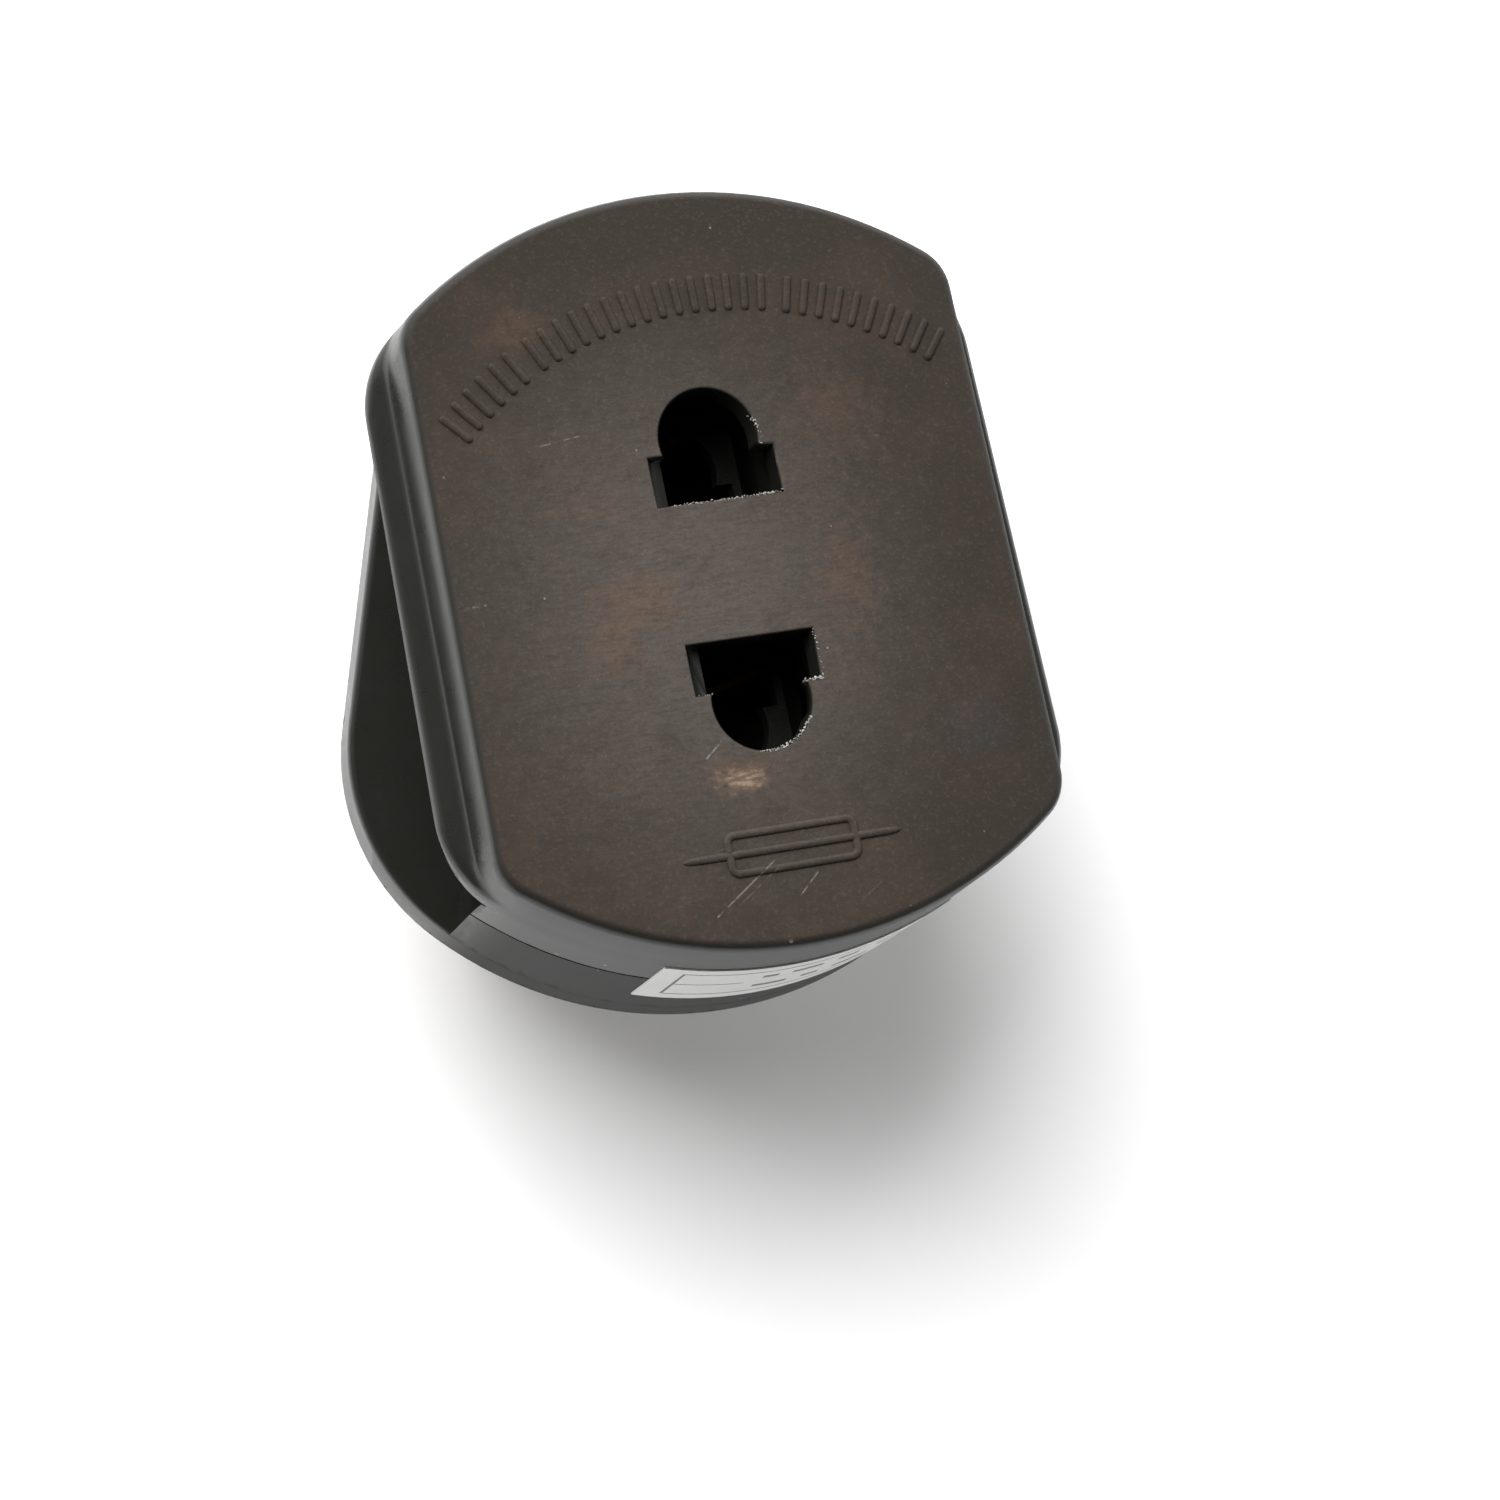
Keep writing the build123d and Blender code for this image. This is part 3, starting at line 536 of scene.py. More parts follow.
# %% [markdown]
# The rest of the plastics share one builder, because a black sleeve, the earth
# pin and the fuse carrier differ only in tone and gloss. Metals get long brush
# lines: noise that is stretched along the way the metal was drawn or rolled.


# %% Plain plastics and metals
def plastic(name, tone, dull, roughness, depth=0.02, specular=0.4):
    """Moulded plastic: two close tones, fine grain and a little dust."""
    material, tree, shader = new_material(name, roughness=roughness, specular=specular)
    pebbles = use_group(tree, grain, Grains_per_mm=4.0, Waves_per_mm=0.4)
    colour = blend(tree, ramp(tree, pebbles["Height"], 0.35, 0.65), tone, dull)
    specks = use_group(tree, dust, Cells_per_mm=0.8, Kept=0.12, Size=0.06)
    colour = blend(tree, times(tree, specks["Mask"], 0.4), colour, GREY_DUST)
    tree.links.new(colour, shader.inputs["Base Color"])
    gloss = ramp(tree, pebbles["Tone"], 0.3, 0.7, roughness - 0.06, roughness + 0.08)
    tree.links.new(gloss, shader.inputs["Roughness"])
    relief(tree, shader, pebbles["Height"], depth)
    return material


def brushed(name, bright, tarnish, roughness, stretch):
    """Metal with brush lines along one axis and tarnish in soft clouds."""
    material, tree, shader = new_material(name, roughness=roughness, metallic=1.0)
    where, _, _, _ = place_mm(tree)
    lines = add(tree, "ShaderNodeMapping", {"Vector": where, "Scale": stretch}).outputs[0]
    brush = noise(tree, lines, 4.0, 4.0)
    clouds = noise(tree, where, 0.35, 4.0)
    colour = blend(tree, ramp(tree, clouds, 0.45, 0.7, 0.0, 0.6), bright, tarnish)
    tree.links.new(colour, shader.inputs["Base Color"])
    gloss = ramp(tree, brush, 0.3, 0.7, roughness - 0.08, roughness + 0.14)
    tree.links.new(gloss, shader.inputs["Roughness"])
    relief(tree, shader, brush, 0.012)
    return material


EARTH_TONES = (0.017, 0.017, 0.018), (0.026, 0.026, 0.027)
SLEEVE_TONES = (0.014, 0.014, 0.015), (0.022, 0.022, 0.023)
CARRIER_TONES = (0.022, 0.021, 0.021), (0.034, 0.033, 0.032)
RETAINER_TONES = (0.0100, 0.0098, 0.0090), (0.015, 0.0148, 0.014)
CERAMIC_TONES = (0.72, 0.68, 0.60), (0.80, 0.77, 0.70)
BRASS_TONES = (0.80, 0.60, 0.28), (0.52, 0.36, 0.15)
NICKEL_TONES = (0.70, 0.67, 0.62), (0.45, 0.43, 0.40)
BRONZE_TONES = (0.20, 0.12, 0.065), (0.07, 0.045, 0.03)
STEEL_TONES = (0.62, 0.62, 0.60), (0.42, 0.42, 0.41)

finishes = {
    "housing_plastic": housing,
    "earth_plastic": plastic("earth_plastic", *EARTH_TONES, 0.42),
    "sleeve_plastic": plastic("sleeve_plastic", *SLEEVE_TONES, 0.46, depth=0.01),
    "carrier_plastic": plastic("carrier_plastic", *CARRIER_TONES, 0.38),
    "retainer_plastic": plastic("retainer_plastic", *RETAINER_TONES, 0.75, specular=0.05),
    "fuse_ceramic": plastic("fuse_ceramic", *CERAMIC_TONES, 0.4, depth=0.008),
    "pin_brass": brushed("pin_brass", *BRASS_TONES, 0.30, (6, 6, 0.4)),
    "fuse_nickel": brushed("fuse_nickel", *NICKEL_TONES, 0.28, (0.5, 6, 6)),
    "contact_bronze": brushed("contact_bronze", *BRONZE_TONES, 0.48, (0.6, 0.6, 5)),
    "screw_steel": brushed("screw_steel", *STEEL_TONES, 0.32, (5, 5, 5)),
}
print("finishes:", ", ".join(finishes))

# %% [markdown]
# The label is coated paper on the lower wall. Its print is only a thin frame, a
# rule and rows of short dashes, drawn by comparing the place on the wall with the
# edges of each bar. The network paints ink where a place falls inside one. A row
# of lines gives left, right, bottom and top; a row of dashes gives the left end,
# the height on the wall and the length, all in millimetres.

# %% Label paper and its print
PAPER = (0.82, 0.82, 0.80)
PAPER_SHADE = (0.5, 0.5, 0.49)
INK = (0.055, 0.06, 0.065)
LABEL_LINES = [
    (-6.6, 11.2, 13.55, 13.75),
    (-6.6, 11.2, 7.30, 7.50),
    (-6.7, -6.5, 7.30, 13.75),
    (11.1, 11.3, 7.30, 13.75),
    (-6.6, -1.8, 10.40, 10.60),
]
LABEL_DASHES = [(-0.8, 11.9, 1.1), (1.3, 11.9, 2.2), (4.6, 11.9, 1.5), (7.4, 11.9, 1.9)]
LABEL_DASHES += [(-0.8, 9.0, 2.4), (2.7, 9.0, 1.2), (5.0, 9.0, 2.6), (8.8, 9.0, 0.9)]
HALF_DASH = 0.35

label, tree, shader = new_material("label_paper", roughness=0.55)
where, x, y, z = place_mm(tree)


def inside(tree, value, low, high):
    """1 where a value lies between two limits, else 0."""
    return times(tree, calc(tree, "GREATER_THAN", value, low), calc(tree, "LESS_THAN", value, high))


dash_bars = [(left, left + length, row - HALF_DASH, row + HALF_DASH) for left, row, length in LABEL_DASHES]
ink = 0.0
for left, right, bottom, top in LABEL_LINES + dash_bars:
    inked = times(tree, inside(tree, x, left, right), inside(tree, z, bottom, top))
    ink = calc(tree, "MAXIMUM", ink, inked)
fibres = use_group(tree, grain, Grains_per_mm=6.0, Waves_per_mm=0.6)
thin_ink = times(tree, ink, ramp(tree, fibres["Tone"], 0.25, 0.55, 0.55, 0.95))
sheet = blend(tree, ramp(tree, fibres["Height"], 0.35, 0.65, 0.0, 0.12), PAPER, PAPER_SHADE)
tree.links.new(blend(tree, thin_ink, sheet, INK), shader.inputs["Base Color"])
relief(tree, shader, fibres["Height"], 0.01)
finishes["label_paper"] = label
print("label bars:", len(LABEL_LINES) + len(LABEL_DASHES))

# %% [markdown]
# The CAD pieces arrive as loose triangles with flat shading. A dressed copy of a
# piece has its doubled corners merged, its flat areas joined again and its true
# edges kept sharp, so the rounded rims shade as smooth curves. Pieces that catch
# the light on their edges also get a narrow bevel.

# %% Dressed copies of the CAD pieces
SHARP_ANGLE = radians(50.0)
FLAT_ANGLE = radians(0.1)
MERGE_MM = 0.002
PIN_BEVEL = 0.25
SMALL_BEVEL = 0.12


def finish_of(name):
    """The finish whose name the CAD piece carries as its material slot."""
    return finishes[nodes[name].data.materials[0].name.split(".")[0]]


def dressed(name, bevel_mm=0.0):
    """A clean, smooth-shaded copy that stands for one CAD piece."""
    mesh = nodes[name].data.copy()
    work = bmesh.new()
    work.from_mesh(mesh)
    bmesh.ops.remove_doubles(work, verts=work.verts, dist=MERGE_MM * MM)
    bmesh.ops.dissolve_limit(work, angle_limit=FLAT_ANGLE, verts=work.verts, edges=work.edges)
    work.to_mesh(mesh)
    work.free()
    mesh.shade_smooth()
    mesh.set_sharp_from_angle(angle=SHARP_ANGLE)
    copy = bpy.data.objects.new(f"{name}_dressed", mesh)
    bpy.context.scene.collection.objects.link(copy)
    mesh.materials.clear()
    mesh.materials.append(finish_of(name))
    if bevel_mm:
        bevel = copy.modifiers.new("worn_edges", "BEVEL")
        bevel.width = bevel_mm * MM
        bevel.segments = 3
        bevel.limit_method = "ANGLE"
        bevel.angle_limit = SHARP_ANGLE
        bevel.harden_normals = False
    even = copy.modifiers.new("even_shading", "WEIGHTED_NORMAL")
    even.keep_sharp = True
    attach(copy, BODY)
    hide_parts(name)
    return copy


for name in ("front_cover", "rear_base"):
    dressed(name)
for name in ("line_pin", "neutral_pin", "earth_pin"):
    dressed(name, bevel_mm=PIN_BEVEL)
for name in ("line_pin_sleeve", "neutral_pin_sleeve", "fuse_carrier"):
    dressed(name, bevel_mm=SMALL_BEVEL)
for name in nodes:
    nodes[name].data.materials[0] = finish_of(name)
print("dressed pieces ready, finishes on all", len(nodes))

# %% [markdown]
# Geometry Nodes suit everything that repeats or follows a path. These helpers
# build a tree with named inputs, run it on an empty object and keep the result as
# a plain mesh. The last step of every tree makes its copies real and gives them
# their material.


# %% Helpers for geometry trees
def geometry_tree(name, inputs):
    """A geometry tree with named inputs, each given with its kind."""
    tree = bpy.data.node_groups.new(name, "GeometryNodeTree")
    tree.interface.new_socket("Geometry", in_out="INPUT", socket_type="NodeSocketGeometry")
    for label, kind in inputs.items():
        tree.interface.new_socket(label, in_out="INPUT", socket_type=f"NodeSocket{kind}")
    tree.interface.new_socket("Geometry", in_out="OUTPUT", socket_type="NodeSocketGeometry")
    return tree, tree.nodes.new("NodeGroupInput").outputs, tree.nodes.new("NodeGroupOutput").inputs


def hand_out(tree, geometry, material, outputs):
    """Makes copies real, coats them and passes them out of the tree."""
    real = add(tree, "GeometryNodeRealizeInstances", {"Geometry": geometry})
    coated = add(tree, "GeometryNodeSetMaterial", {"Geometry": real.outputs[0], "Material": material})
    tree.links.new(coated.outputs[0], outputs["Geometry"])


def grown(name, tree, values, material):
    """A plain mesh object made by a geometry tree with the given input values."""
    seed = bpy.data.objects.new(f"{name}_seed", bpy.data.meshes.new(f"{name}_seed"))
    bpy.context.scene.collection.objects.link(seed)
    modifier = seed.modifiers.new(name, "NODES")
    modifier.node_group = tree
    values = {**values, "Material": material}
    for item in tree.interface.items_tree:
        if item.in_out == "INPUT" and item.name in values:
            modifier[item.identifier] = values[item.name]
    evaluated = seed.evaluated_get(bpy.context.evaluated_depsgraph_get())
    mesh = bpy.data.meshes.new_from_object(evaluated)
    mesh.name = name
    bpy.data.objects.remove(seed)
    piece = bpy.data.objects.new(name, mesh)
    bpy.context.scene.collection.objects.link(piece)
    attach(piece, BODY)
    print(name, "triangles:", sum(len(face.vertices) - 2 for face in mesh.polygons))
    return piece


def joined(tree, *geometries):
    """Several geometries as one."""
    node = add(tree, "GeometryNodeJoinGeometry")
    for geometry in geometries:
        tree.links.new(geometry, node.inputs[0])
    return node.outputs[0]


print("geometry helpers ready")

# %% [markdown]
# The face carries raised marks: an arc of bars over the upper socket and the
# drawn sign of a fuse under the lower one. Each mark is the same soft bead of
# plastic swept along a line. The bead is swept round first, then pressed flat
# until it stands a quarter of a millimetre proud.

# %% Helpers for raised beads
BEAD_WIDTH = 0.56
BEAD_HEIGHT = 0.24
BEAD_SIDES = 16
END_SHARPNESS = 14.0
THINNEST = 0.05


def ring(tree, width):
    """The round section of a bead."""
    settings = {"Resolution": BEAD_SIDES, "Radius": times(tree, width, 0.5)}
    return add(tree, "GeometryNodeCurvePrimitiveCircle", settings).outputs[0]


def straight_line(tree, length, axis, count):
    """A straight curve of many points along one axis, centred on the origin."""
    half = times(tree, length, 0.5)
    low = add(tree, "ShaderNodeCombineXYZ", {axis: times(tree, half, -1.0)}).outputs[0]
    high = add(tree, "ShaderNodeCombineXYZ", {axis: half}).outputs[0]
    line = add(tree, "GeometryNodeCurvePrimitiveLine", {"Start": low, "End": high})
    return add(tree, "GeometryNodeResampleCurve", {"Curve": line.outputs[0], "Count": count}).outputs[0]


def tapered_bead(tree, curve, width):
    """A round bead along a curve, thinned out at both ends."""
    share = add(tree, "GeometryNodeSplineParameter").outputs["Factor"]
    centred = calc(tree, "ABSOLUTE", minus(tree, times(tree, share, 2.0), 1.0))
    taper = calc(tree, "SQRT", minus(tree, 1.0, calc(tree, "POWER", centred, END_SHARPNESS)))
    radius = calc(tree, "MAXIMUM", taper, THINNEST)
    sized = add(tree, "GeometryNodeSetCurveRadius", {"Curve": curve, "Radius": radius}).outputs[0]
    inputs = {"Curve": sized, "Profile Curve": ring(tree, width), "Fill Caps": True}
    inputs["Scale"] = add(tree, "GeometryNodeInputRadius").outputs[0]
    return add(tree, "GeometryNodeCurveToMesh", inputs).outputs[0]


def pressed(tree, bead, width, height):
    """A bead pressed flat until its upper half is as high as asked, and smooth."""
    squash = calc(tree, "DIVIDE", times(tree, height, 2.0), width)
    scale = add(tree, "ShaderNodeCombineXYZ", {"X": 1.0, "Y": 1.0, "Z": squash}).outputs[0]
    flat = add(tree, "GeometryNodeTransform", {"Geometry": bead, "Scale": scale}).outputs[0]
    return add(tree, "GeometryNodeSetShadeSmooth", {"Geometry": flat}).outputs[0]


def laid_on_face(tree, geometry, middle):
    """A mark moved to its place on the face."""
    place = (middle[0] * MM, middle[1] * MM, FACE_Z * MM)
    return add(tree, "GeometryNodeTransform", {"Geometry": geometry, "Translation": place}).outputs[0]


print("bead helpers ready")

# %% [markdown]
# The arc of bars: points are set round a circle, one bar is placed on each, and
# every bar is turned to point at the middle of the circle. Three groups of bars
# with a gap between them fill the band along the upper edge of the face. Each
# group is given by the angle of its first bar, in degrees from +Y, and its count.

# %% Raised bars along the upper arc
ARC_MIDDLE = (1.07, -7.21)
ARC_RADIUS = 25.7
BAR_LENGTH = 2.6
BAR_STEP = 2.62
BAR_GROUPS = [(-43.4, 6), (-26.6, 15), (14.0, 10)]
BAR_INPUTS = {"Bars": "Int", "Start": "Float", "Step": "Float", "Radius": "Float"}
BAR_INPUTS |= {"Length": "Float", "Width": "Float", "Height": "Float", "Material": "Material"}

bars, bars_in, bars_out = geometry_tree("arc_of_bars", BAR_INPUTS)
stroke = straight_line(bars, bars_in["Length"], "Y", 25)
bead = tapered_bead(bars, stroke, bars_in["Width"])
bar = pressed(bars, bead, bars_in["Width"], bars_in["Height"])
index = add(bars, "GeometryNodeInputIndex").outputs[0]
angle = calc(bars, "ADD", bars_in["Start"], times(bars, index, bars_in["Step"]))
spot_x = times(bars, calc(bars, "SINE", angle), bars_in["Radius"])
spot_y = times(bars, calc(bars, "COSINE", angle), bars_in["Radius"])
spot = add(bars, "ShaderNodeCombineXYZ", {"X": spot_x, "Y": spot_y}).outputs[0]
points = add(bars, "GeometryNodePoints", {"Count": bars_in["Bars"], "Position": spot}).outputs[0]
turned = add(bars, "ShaderNodeCombineXYZ", {"Z": times(bars, angle, -1.0)}).outputs[0]
spin = add(bars, "FunctionNodeEulerToRotation", {0: turned}).outputs[0]
planting = {"Points": points, "Instance": bar, "Rotation": spin}
planted = add(bars, "GeometryNodeInstanceOnPoints", planting).outputs[0]
hand_out(bars, laid_on_face(bars, planted, ARC_MIDDLE), bars_in["Material"], bars_out)

bead_values = {"Width": BEAD_WIDTH * MM, "Height": BEAD_HEIGHT * MM}
bar_values = {"Step": radians(BAR_STEP), "Radius": ARC_RADIUS * MM, "Length": BAR_LENGTH * MM}
for number, (start, count) in enumerate(BAR_GROUPS):
    values = {**bar_values, **bead_values, "Bars": count, "Start": radians(start)}
    grown(f"arc_bars_{number}", bars, values, housing)

# %% [markdown]
# Under the lower socket lies the drawn sign of a fuse: an oblong with a line
# through it. The oblong is a rectangle whose corners are rounded, and both lines
# get the same bead as the bars, so the two marks look as if one mould made them.

# %% Raised fuse sign
SIGN_MIDDLE = (0.0, -18.55)
SIGN_LENGTH = 15.0
SIGN_BOX = (8.6, 2.5)
SIGN_CORNER = 0.5
SIGN_INPUTS = {"Length": "Float", "Box length": "Float", "Box height": "Float", "Corner": "Float"}
SIGN_INPUTS |= {"Width": "Float", "Height": "Float", "Material": "Material"}

sign, sign_in, sign_out = geometry_tree("fuse_sign", SIGN_INPUTS)
box_size = {"Width": sign_in["Box length"], "Height": sign_in["Box height"]}
box = add(sign, "GeometryNodeCurvePrimitiveQuadrilateral", box_size).outputs[0]
corners = {"Curve": box, "Radius": sign_in["Corner"]}
rounded = add(sign, "GeometryNodeFilletCurve", corners, mode="POLY")
rounded.inputs["Count"].default_value = 6
outline = {"Curve": rounded.outputs[0], "Profile Curve": ring(sign, sign_in["Width"])}
frame_bead = add(sign, "GeometryNodeCurveToMesh", outline).outputs[0]
wire = straight_line(sign, sign_in["Length"], "X", 60)
wire_bead = tapered_bead(sign, wire, sign_in["Width"])
both_beads = joined(sign, frame_bead, wire_bead)
mark = pressed(sign, both_beads, sign_in["Width"], sign_in["Height"])
hand_out(sign, laid_on_face(sign, mark, SIGN_MIDDLE), sign_in["Material"], sign_out)

values = {"Length": SIGN_LENGTH * MM, "Box length": SIGN_BOX[0] * MM, "Box height": SIGN_BOX[1] * MM}
grown("fuse_sign", sign, {**values, **bead_values, "Corner": SIGN_CORNER * MM}, housing)

# %% [markdown]
# Plugs have been pushed in and pulled out many times, and the edges of the
# sockets are frayed: crumbs of plastic stand along them, and their pale tone is
# partly the frayed plastic and partly a painted highlight of the worn edges. Each
# frayed edge is a curve through three points. Crumbs are set along it, shaken a
# little, and given a random size and turn with a fixed seed, so that the result
# stays the same. Each row gives the three points in millimetres, how many crumbs,
# and their scale.

# %% Frayed socket edges with a painted highlight
CRUMB_SIZE = 0.085
CRUMB_SINK = 0.06
CRUMB_SHAKE = 0.9
CRUMB_SMALLEST = (0.4, 0.3, 0.25)
CRUMB_LARGEST = (1.5, 1.0, 0.7)
FULL_TURN = (6.3, 6.3, 6.3)
FIRST_SEED = 3
# The rows lie along the socket edges where the painted highlight runs.
FRAYED_GLINT_EDGES = [
    ((-3.4, 4.60), (0.4, 4.60), (4.15, 4.60), 95, 0.95),
    ((2.6, 4.58), (3.4, 4.60), (4.3, 4.75), 14, 1.35),
    ((3.05, 9.9), (3.75, 8.9), (3.45, 7.95), 18, 1.35),
    ((4.30, -4.75), (4.62, -5.6), (4.42, -7.9), 26, 1.15),
    ((4.35, -7.98), (3.7, -8.0), (3.0, -8.0), 14, 1.45),
    ((-0.9, -12.22), (1.7, -12.40), (3.06, -10.3), 80, 1.25),
    ((-3.3, -11.2), (-2.2, -12.1), (-1.0, -12.22), 16, 0.7),
    ((-4.2, -8.0), (-3.7, -8.02), (-3.2, -8.0), 12, 0.8),
]
PIT_TONE = (0.05, 0.047, 0.042)
# The pale crumb tone is partly the frayed plastic and partly a painted highlight of the worn socket edges.
CRUMB_GLINT_TONE = (0.42, 0.40, 0.37)

# This finish carries the painted highlight along the socket edges.
frayed_glint_plastic, tree, shader = new_material("frayed_glint_plastic", roughness=0.5)
pebbles = use_group(tree, grain, Grains_per_mm=7.0, Waves_per_mm=1.5)
colour = blend(tree, ramp(tree, pebbles["Height"], 0.35, 0.65), PIT_TONE, CRUMB_GLINT_TONE)
tree.links.new(colour, shader.inputs["Base Color"])
relief(tree, shader, pebbles["Height"], 0.02)

CRUMB_INPUTS = {"Start": "Vector", "Middle": "Vector", "End": "Vector"}
CRUMB_INPUTS |= {"Count": "Int", "Size": "Float", "Seed": "Int", "Material": "Material"}
crumbs, crumbs_in, crumbs_out = geometry_tree("crumbs_along_edge", CRUMB_INPUTS)
bend = {"Resolution": 32, **{label: crumbs_in[label] for label in ("Start", "Middle", "End")}}
edge = add(crumbs, "GeometryNodeCurveQuadraticBezier", bend).outputs[0]
dots = add(crumbs, "GeometryNodeCurveToPoints", {"Curve": edge, "Count": crumbs_in["Count"]}).outputs[0]
crumb = add(crumbs, "GeometryNodeMeshIcoSphere", {"Radius": crumbs_in["Size"], "Subdivisions": 1})
reach = times(crumbs, crumbs_in["Size"], CRUMB_SHAKE)
low = add(crumbs, "ShaderNodeCombineXYZ", {axis: times(crumbs, reach, -1.0) for axis in "XYZ"})
high = add(crumbs, "ShaderNodeCombineXYZ", {"X": reach, "Y": reach, "Z": times(crumbs, reach, 0.3)})


def random_vector(low, high):
    """A random vector for each crumb, between two limits."""
    limits = {0: low, 1: high, "Seed": crumbs_in["Seed"]}
    return add(crumbs, "FunctionNodeRandomValue", limits, data_type="FLOAT_VECTOR").outputs[0]


shaken = random_vector(low.outputs[0], high.outputs[0])
loose = add(crumbs, "GeometryNodeSetPosition", {"Geometry": dots, "Offset": shaken}).outputs[0]
turns = add(crumbs, "FunctionNodeEulerToRotation", {0: random_vector((0, 0, 0), FULL_TURN)}).outputs[0]
planting = {"Points": loose, "Instance": crumb.outputs[0], "Rotation": turns}
planting["Scale"] = random_vector(CRUMB_SMALLEST, CRUMB_LARGEST)
planted = add(crumbs, "GeometryNodeInstanceOnPoints", planting).outputs[0]
hand_out(crumbs, planted, crumbs_in["Material"], crumbs_out)

for number, (first, second, third, count, scale) in enumerate(FRAYED_GLINT_EDGES):
    values = {"Count": count, "Size": CRUMB_SIZE * scale * MM, "Seed": number + FIRST_SEED}
    for label, (px, py) in zip(("Start", "Middle", "End"), (first, second, third)):
        values[label] = (px * MM, py * MM, (FACE_Z - CRUMB_SINK) * MM)
    grown(f"frayed_edge_{number}", crumbs, values, frayed_glint_plastic)

# %% [markdown]
# Two screws close the adapter from the pin face. A screw is a turned form, so its
# outline is spun round an axis, and a cross is cut out of the head with a Boolean.
# One of the two crossing boxes is a hair narrower, because two faces in the same
# plane confuse a Boolean.

# %% Screw head and shank
HEAD_RADIUS = 2.5
SHANK_RADIUS = 1.08
HEAD_LOW_Z = 0.2
SEAT_Z = 1.5
TIP_Z = 15.7
TIP_LENGTH = 0.9
CROSS_LENGTH = 2.9
CROSS_WIDTH = 0.62
CROSS_DEPTH = 0.75
A_HAIR_LESS = 0.999
SPIN_STEPS = 32
SCREW_OUTLINE = [
    (0.0, HEAD_LOW_Z),
    (1.5, HEAD_LOW_Z),
    (2.15, HEAD_LOW_Z + 0.16),
    (2.42, HEAD_LOW_Z + 0.45),
    (HEAD_RADIUS, HEAD_LOW_Z + 0.8),
    (HEAD_RADIUS, SEAT_Z),
    (SHANK_RADIUS, SEAT_Z),
    (SHANK_RADIUS, TIP_Z - TIP_LENGTH),
    (0.0, TIP_Z),
]


def object_from(work, name):
    """An object in the scene, made from finished mesh code."""
    mesh = bpy.data.meshes.new(name)
    work.to_mesh(mesh)
    work.free()
    thing = bpy.data.objects.new(name, mesh)
    bpy.context.scene.collection.objects.link(thing)
    return thing


def spun(name, outline):
    """A closed solid made by turning an outline round the upright axis."""
    work = bmesh.new()
    points = [work.verts.new((r * MM, 0, z * MM)) for r, z in outline]
    edges = [work.edges.new(pair) for pair in zip(points, points[1:])]
    round_axis = {"axis": (0, 0, 1), "cent": (0, 0, 0), "angle": 2 * pi, "steps": SPIN_STEPS}
    bmesh.ops.spin(work, geom=points + edges, **round_axis)
    bmesh.ops.remove_doubles(work, verts=work.verts, dist=1e-6)
    bmesh.ops.recalc_face_normals(work, faces=work.faces)
    return object_from(work, name)


def crossed_boxes(name):
    """Two crossed boxes that cut the recess for a screwdriver."""
    work = bmesh.new()
    for wide, long in ((CROSS_LENGTH, CROSS_WIDTH), (CROSS_WIDTH * A_HAIR_LESS, CROSS_LENGTH)):
        shape = Matrix.Diagonal((wide * MM, long * MM, 2 * CROSS_DEPTH * MM, 1))
        place = Matrix.Translation((0, 0, HEAD_LOW_Z * MM))
        bmesh.ops.create_cube(work, size=1, matrix=place @ shape)
    return object_from(work, name)


blank = spun("screw_blank", SCREW_OUTLINE)
cutter = crossed_boxes("screw_cutter")
cut = blank.modifiers.new("cross", "BOOLEAN")
cut.operation = "DIFFERENCE"
cut.use_self = True
cut.object = cutter
cut_blank = blank.evaluated_get(bpy.context.evaluated_depsgraph_get())
screw_mesh = bpy.data.meshes.new_from_object(cut_blank)
for helper in (blank, cutter):
    bpy.data.objects.remove(helper)
screw_master = bpy.data.objects.new("screw_master", screw_mesh)
bpy.context.scene.collection.objects.link(screw_master)
print("screw faces:", len(screw_mesh.polygons))

# %% [markdown]
# The thread is a triangle swept along a spiral. One tree joins head and thread
# and sets a copy on each place, which is what Geometry Nodes do best with
# fasteners. The pair takes the place of the plain screws of the CAD model.

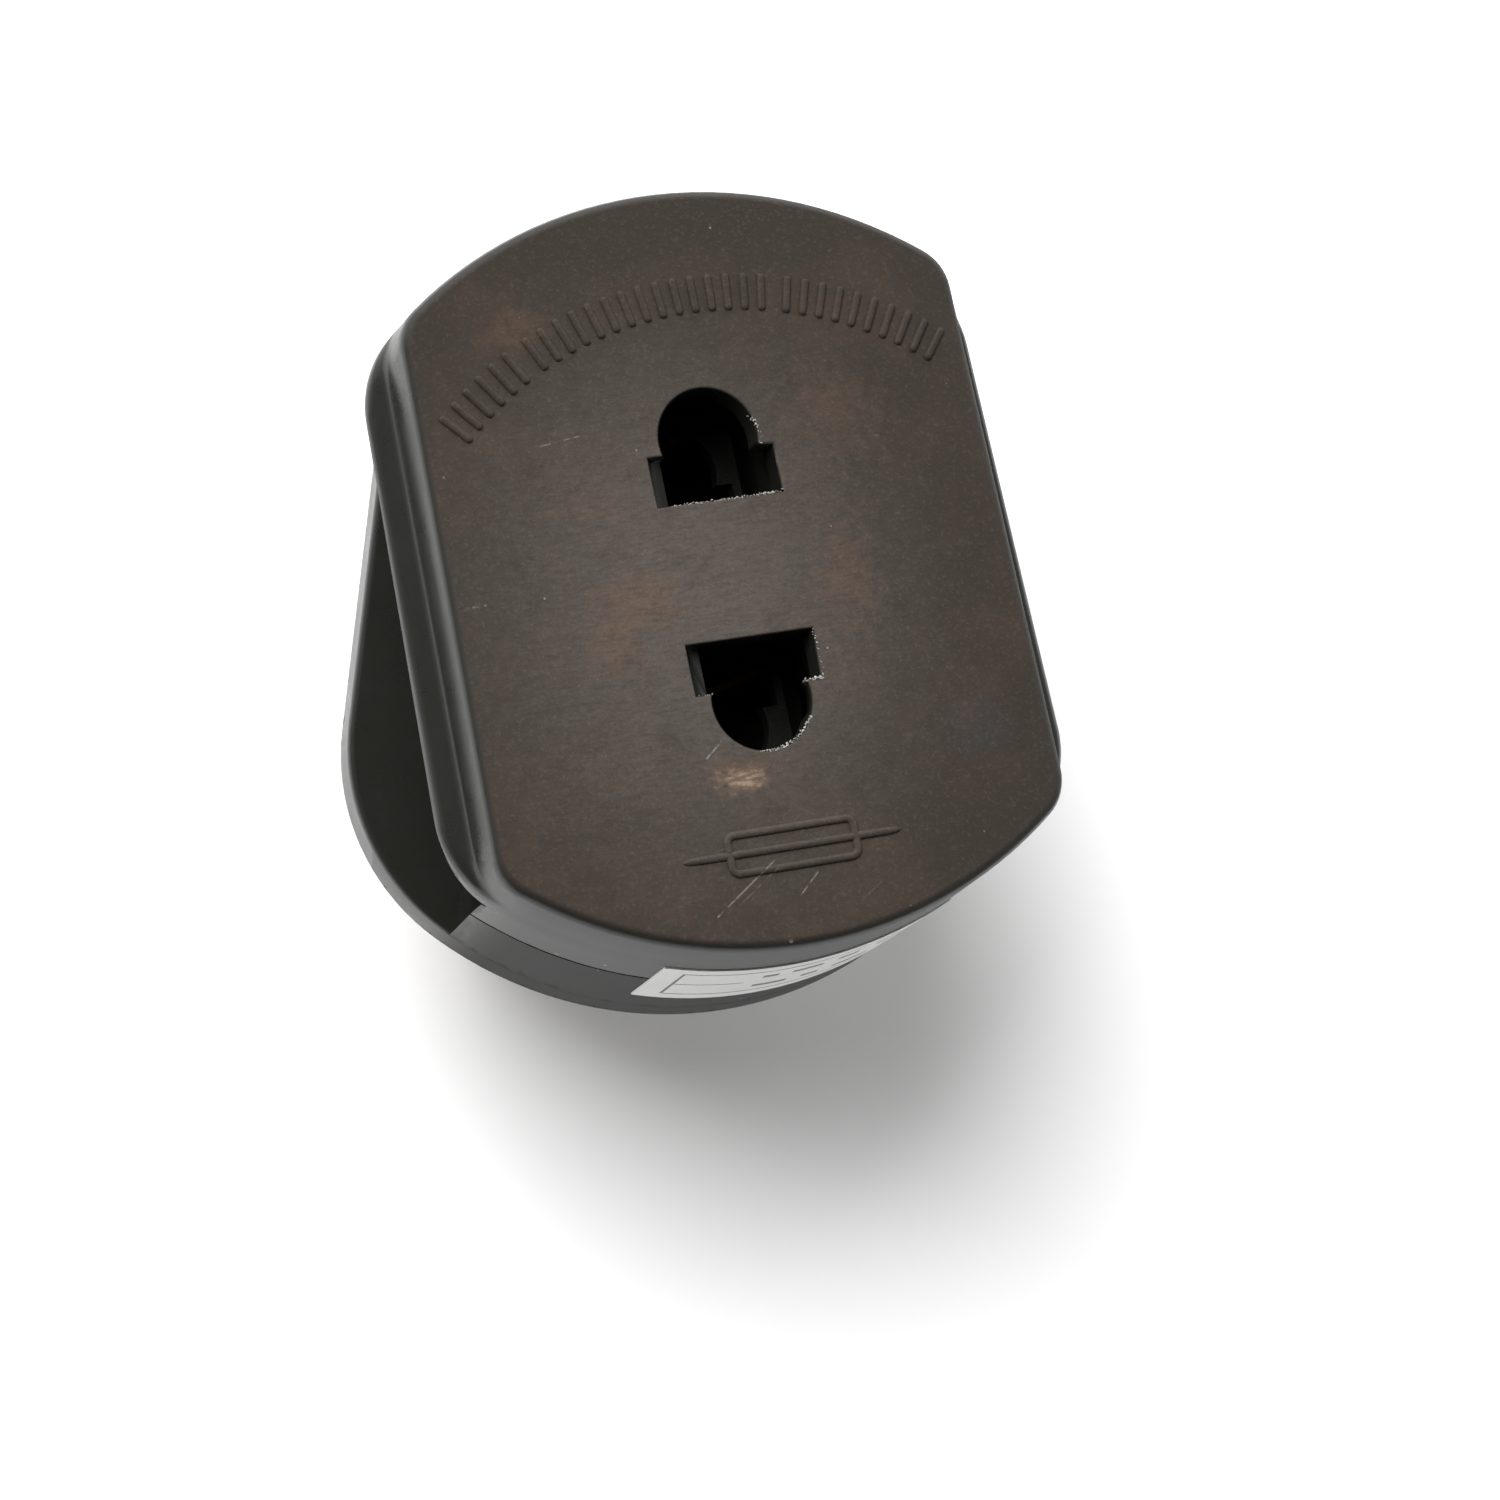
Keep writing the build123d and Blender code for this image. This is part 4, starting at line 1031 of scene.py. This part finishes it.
# %% Screws on their places
UPPER_SCREW_Y = 20.2
LOWER_SCREW_Y = -18.7
THREAD_RADIUS = 1.28
THREAD_RIDGE = 0.17
THREAD_PITCH = 0.9
THREAD_LENGTH = 12.4
THREAD_LOW_Z = 1.8
SCREW_INPUTS = {"Screw": "Object", "Upper": "Vector", "Lower": "Vector", "Thread radius": "Float"}
SCREW_INPUTS |= {"Thread length": "Float", "Turns": "Float", "Bottom": "Float", "Material": "Material"}

screws, screws_in, screws_out = geometry_tree("screws_on_places", SCREW_INPUTS)
coil = {"Resolution": 20, "Rotations": screws_in["Turns"], "Height": screws_in["Thread length"]}
coil |= {"Start Radius": screws_in["Thread radius"], "End Radius": screws_in["Thread radius"]}
spiral = add(screws, "GeometryNodeCurveSpiral", coil).outputs[0]
triangle = {"Resolution": 3, "Radius": THREAD_RIDGE * MM}
ridge = add(screws, "GeometryNodeCurvePrimitiveCircle", triangle).outputs[0]
sweep = {"Curve": spiral, "Profile Curve": ridge, "Fill Caps": True}
thread = add(screws, "GeometryNodeCurveToMesh", sweep).outputs[0]
lift = add(screws, "ShaderNodeCombineXYZ", {"Z": screws_in["Bottom"]}).outputs[0]
raised = add(screws, "GeometryNodeTransform", {"Geometry": thread, "Translation": lift}).outputs[0]
master = add(screws, "GeometryNodeObjectInfo", {"Object": screws_in["Screw"]}).outputs["Geometry"]
whole = joined(screws, raised, master)
row = {"Count": 2, "Start Location": screws_in["Upper"], "Offset": screws_in["Lower"]}
seats = add(screws, "GeometryNodeMeshLine", row, mode="END_POINTS").outputs[0]
planted = add(screws, "GeometryNodeInstanceOnPoints", {"Points": seats, "Instance": whole})
hand_out(screws, planted.outputs[0], screws_in["Material"], screws_out)

values = {"Screw": screw_master, "Upper": (0, UPPER_SCREW_Y * MM, 0), "Lower": (0, LOWER_SCREW_Y * MM, 0)}
values |= {"Thread radius": (THREAD_RADIUS - THREAD_RIDGE) * MM, "Thread length": THREAD_LENGTH * MM}
values |= {"Turns": THREAD_LENGTH / THREAD_PITCH, "Bottom": THREAD_LOW_Z * MM}
screw_pair = grown("screw_pair", screws, values, finishes["screw_steel"])
bpy.data.objects.remove(screw_master)
screw_pair.data.shade_smooth()
screw_pair.data.set_sharp_from_angle(angle=radians(30))
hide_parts("assembly_screws")
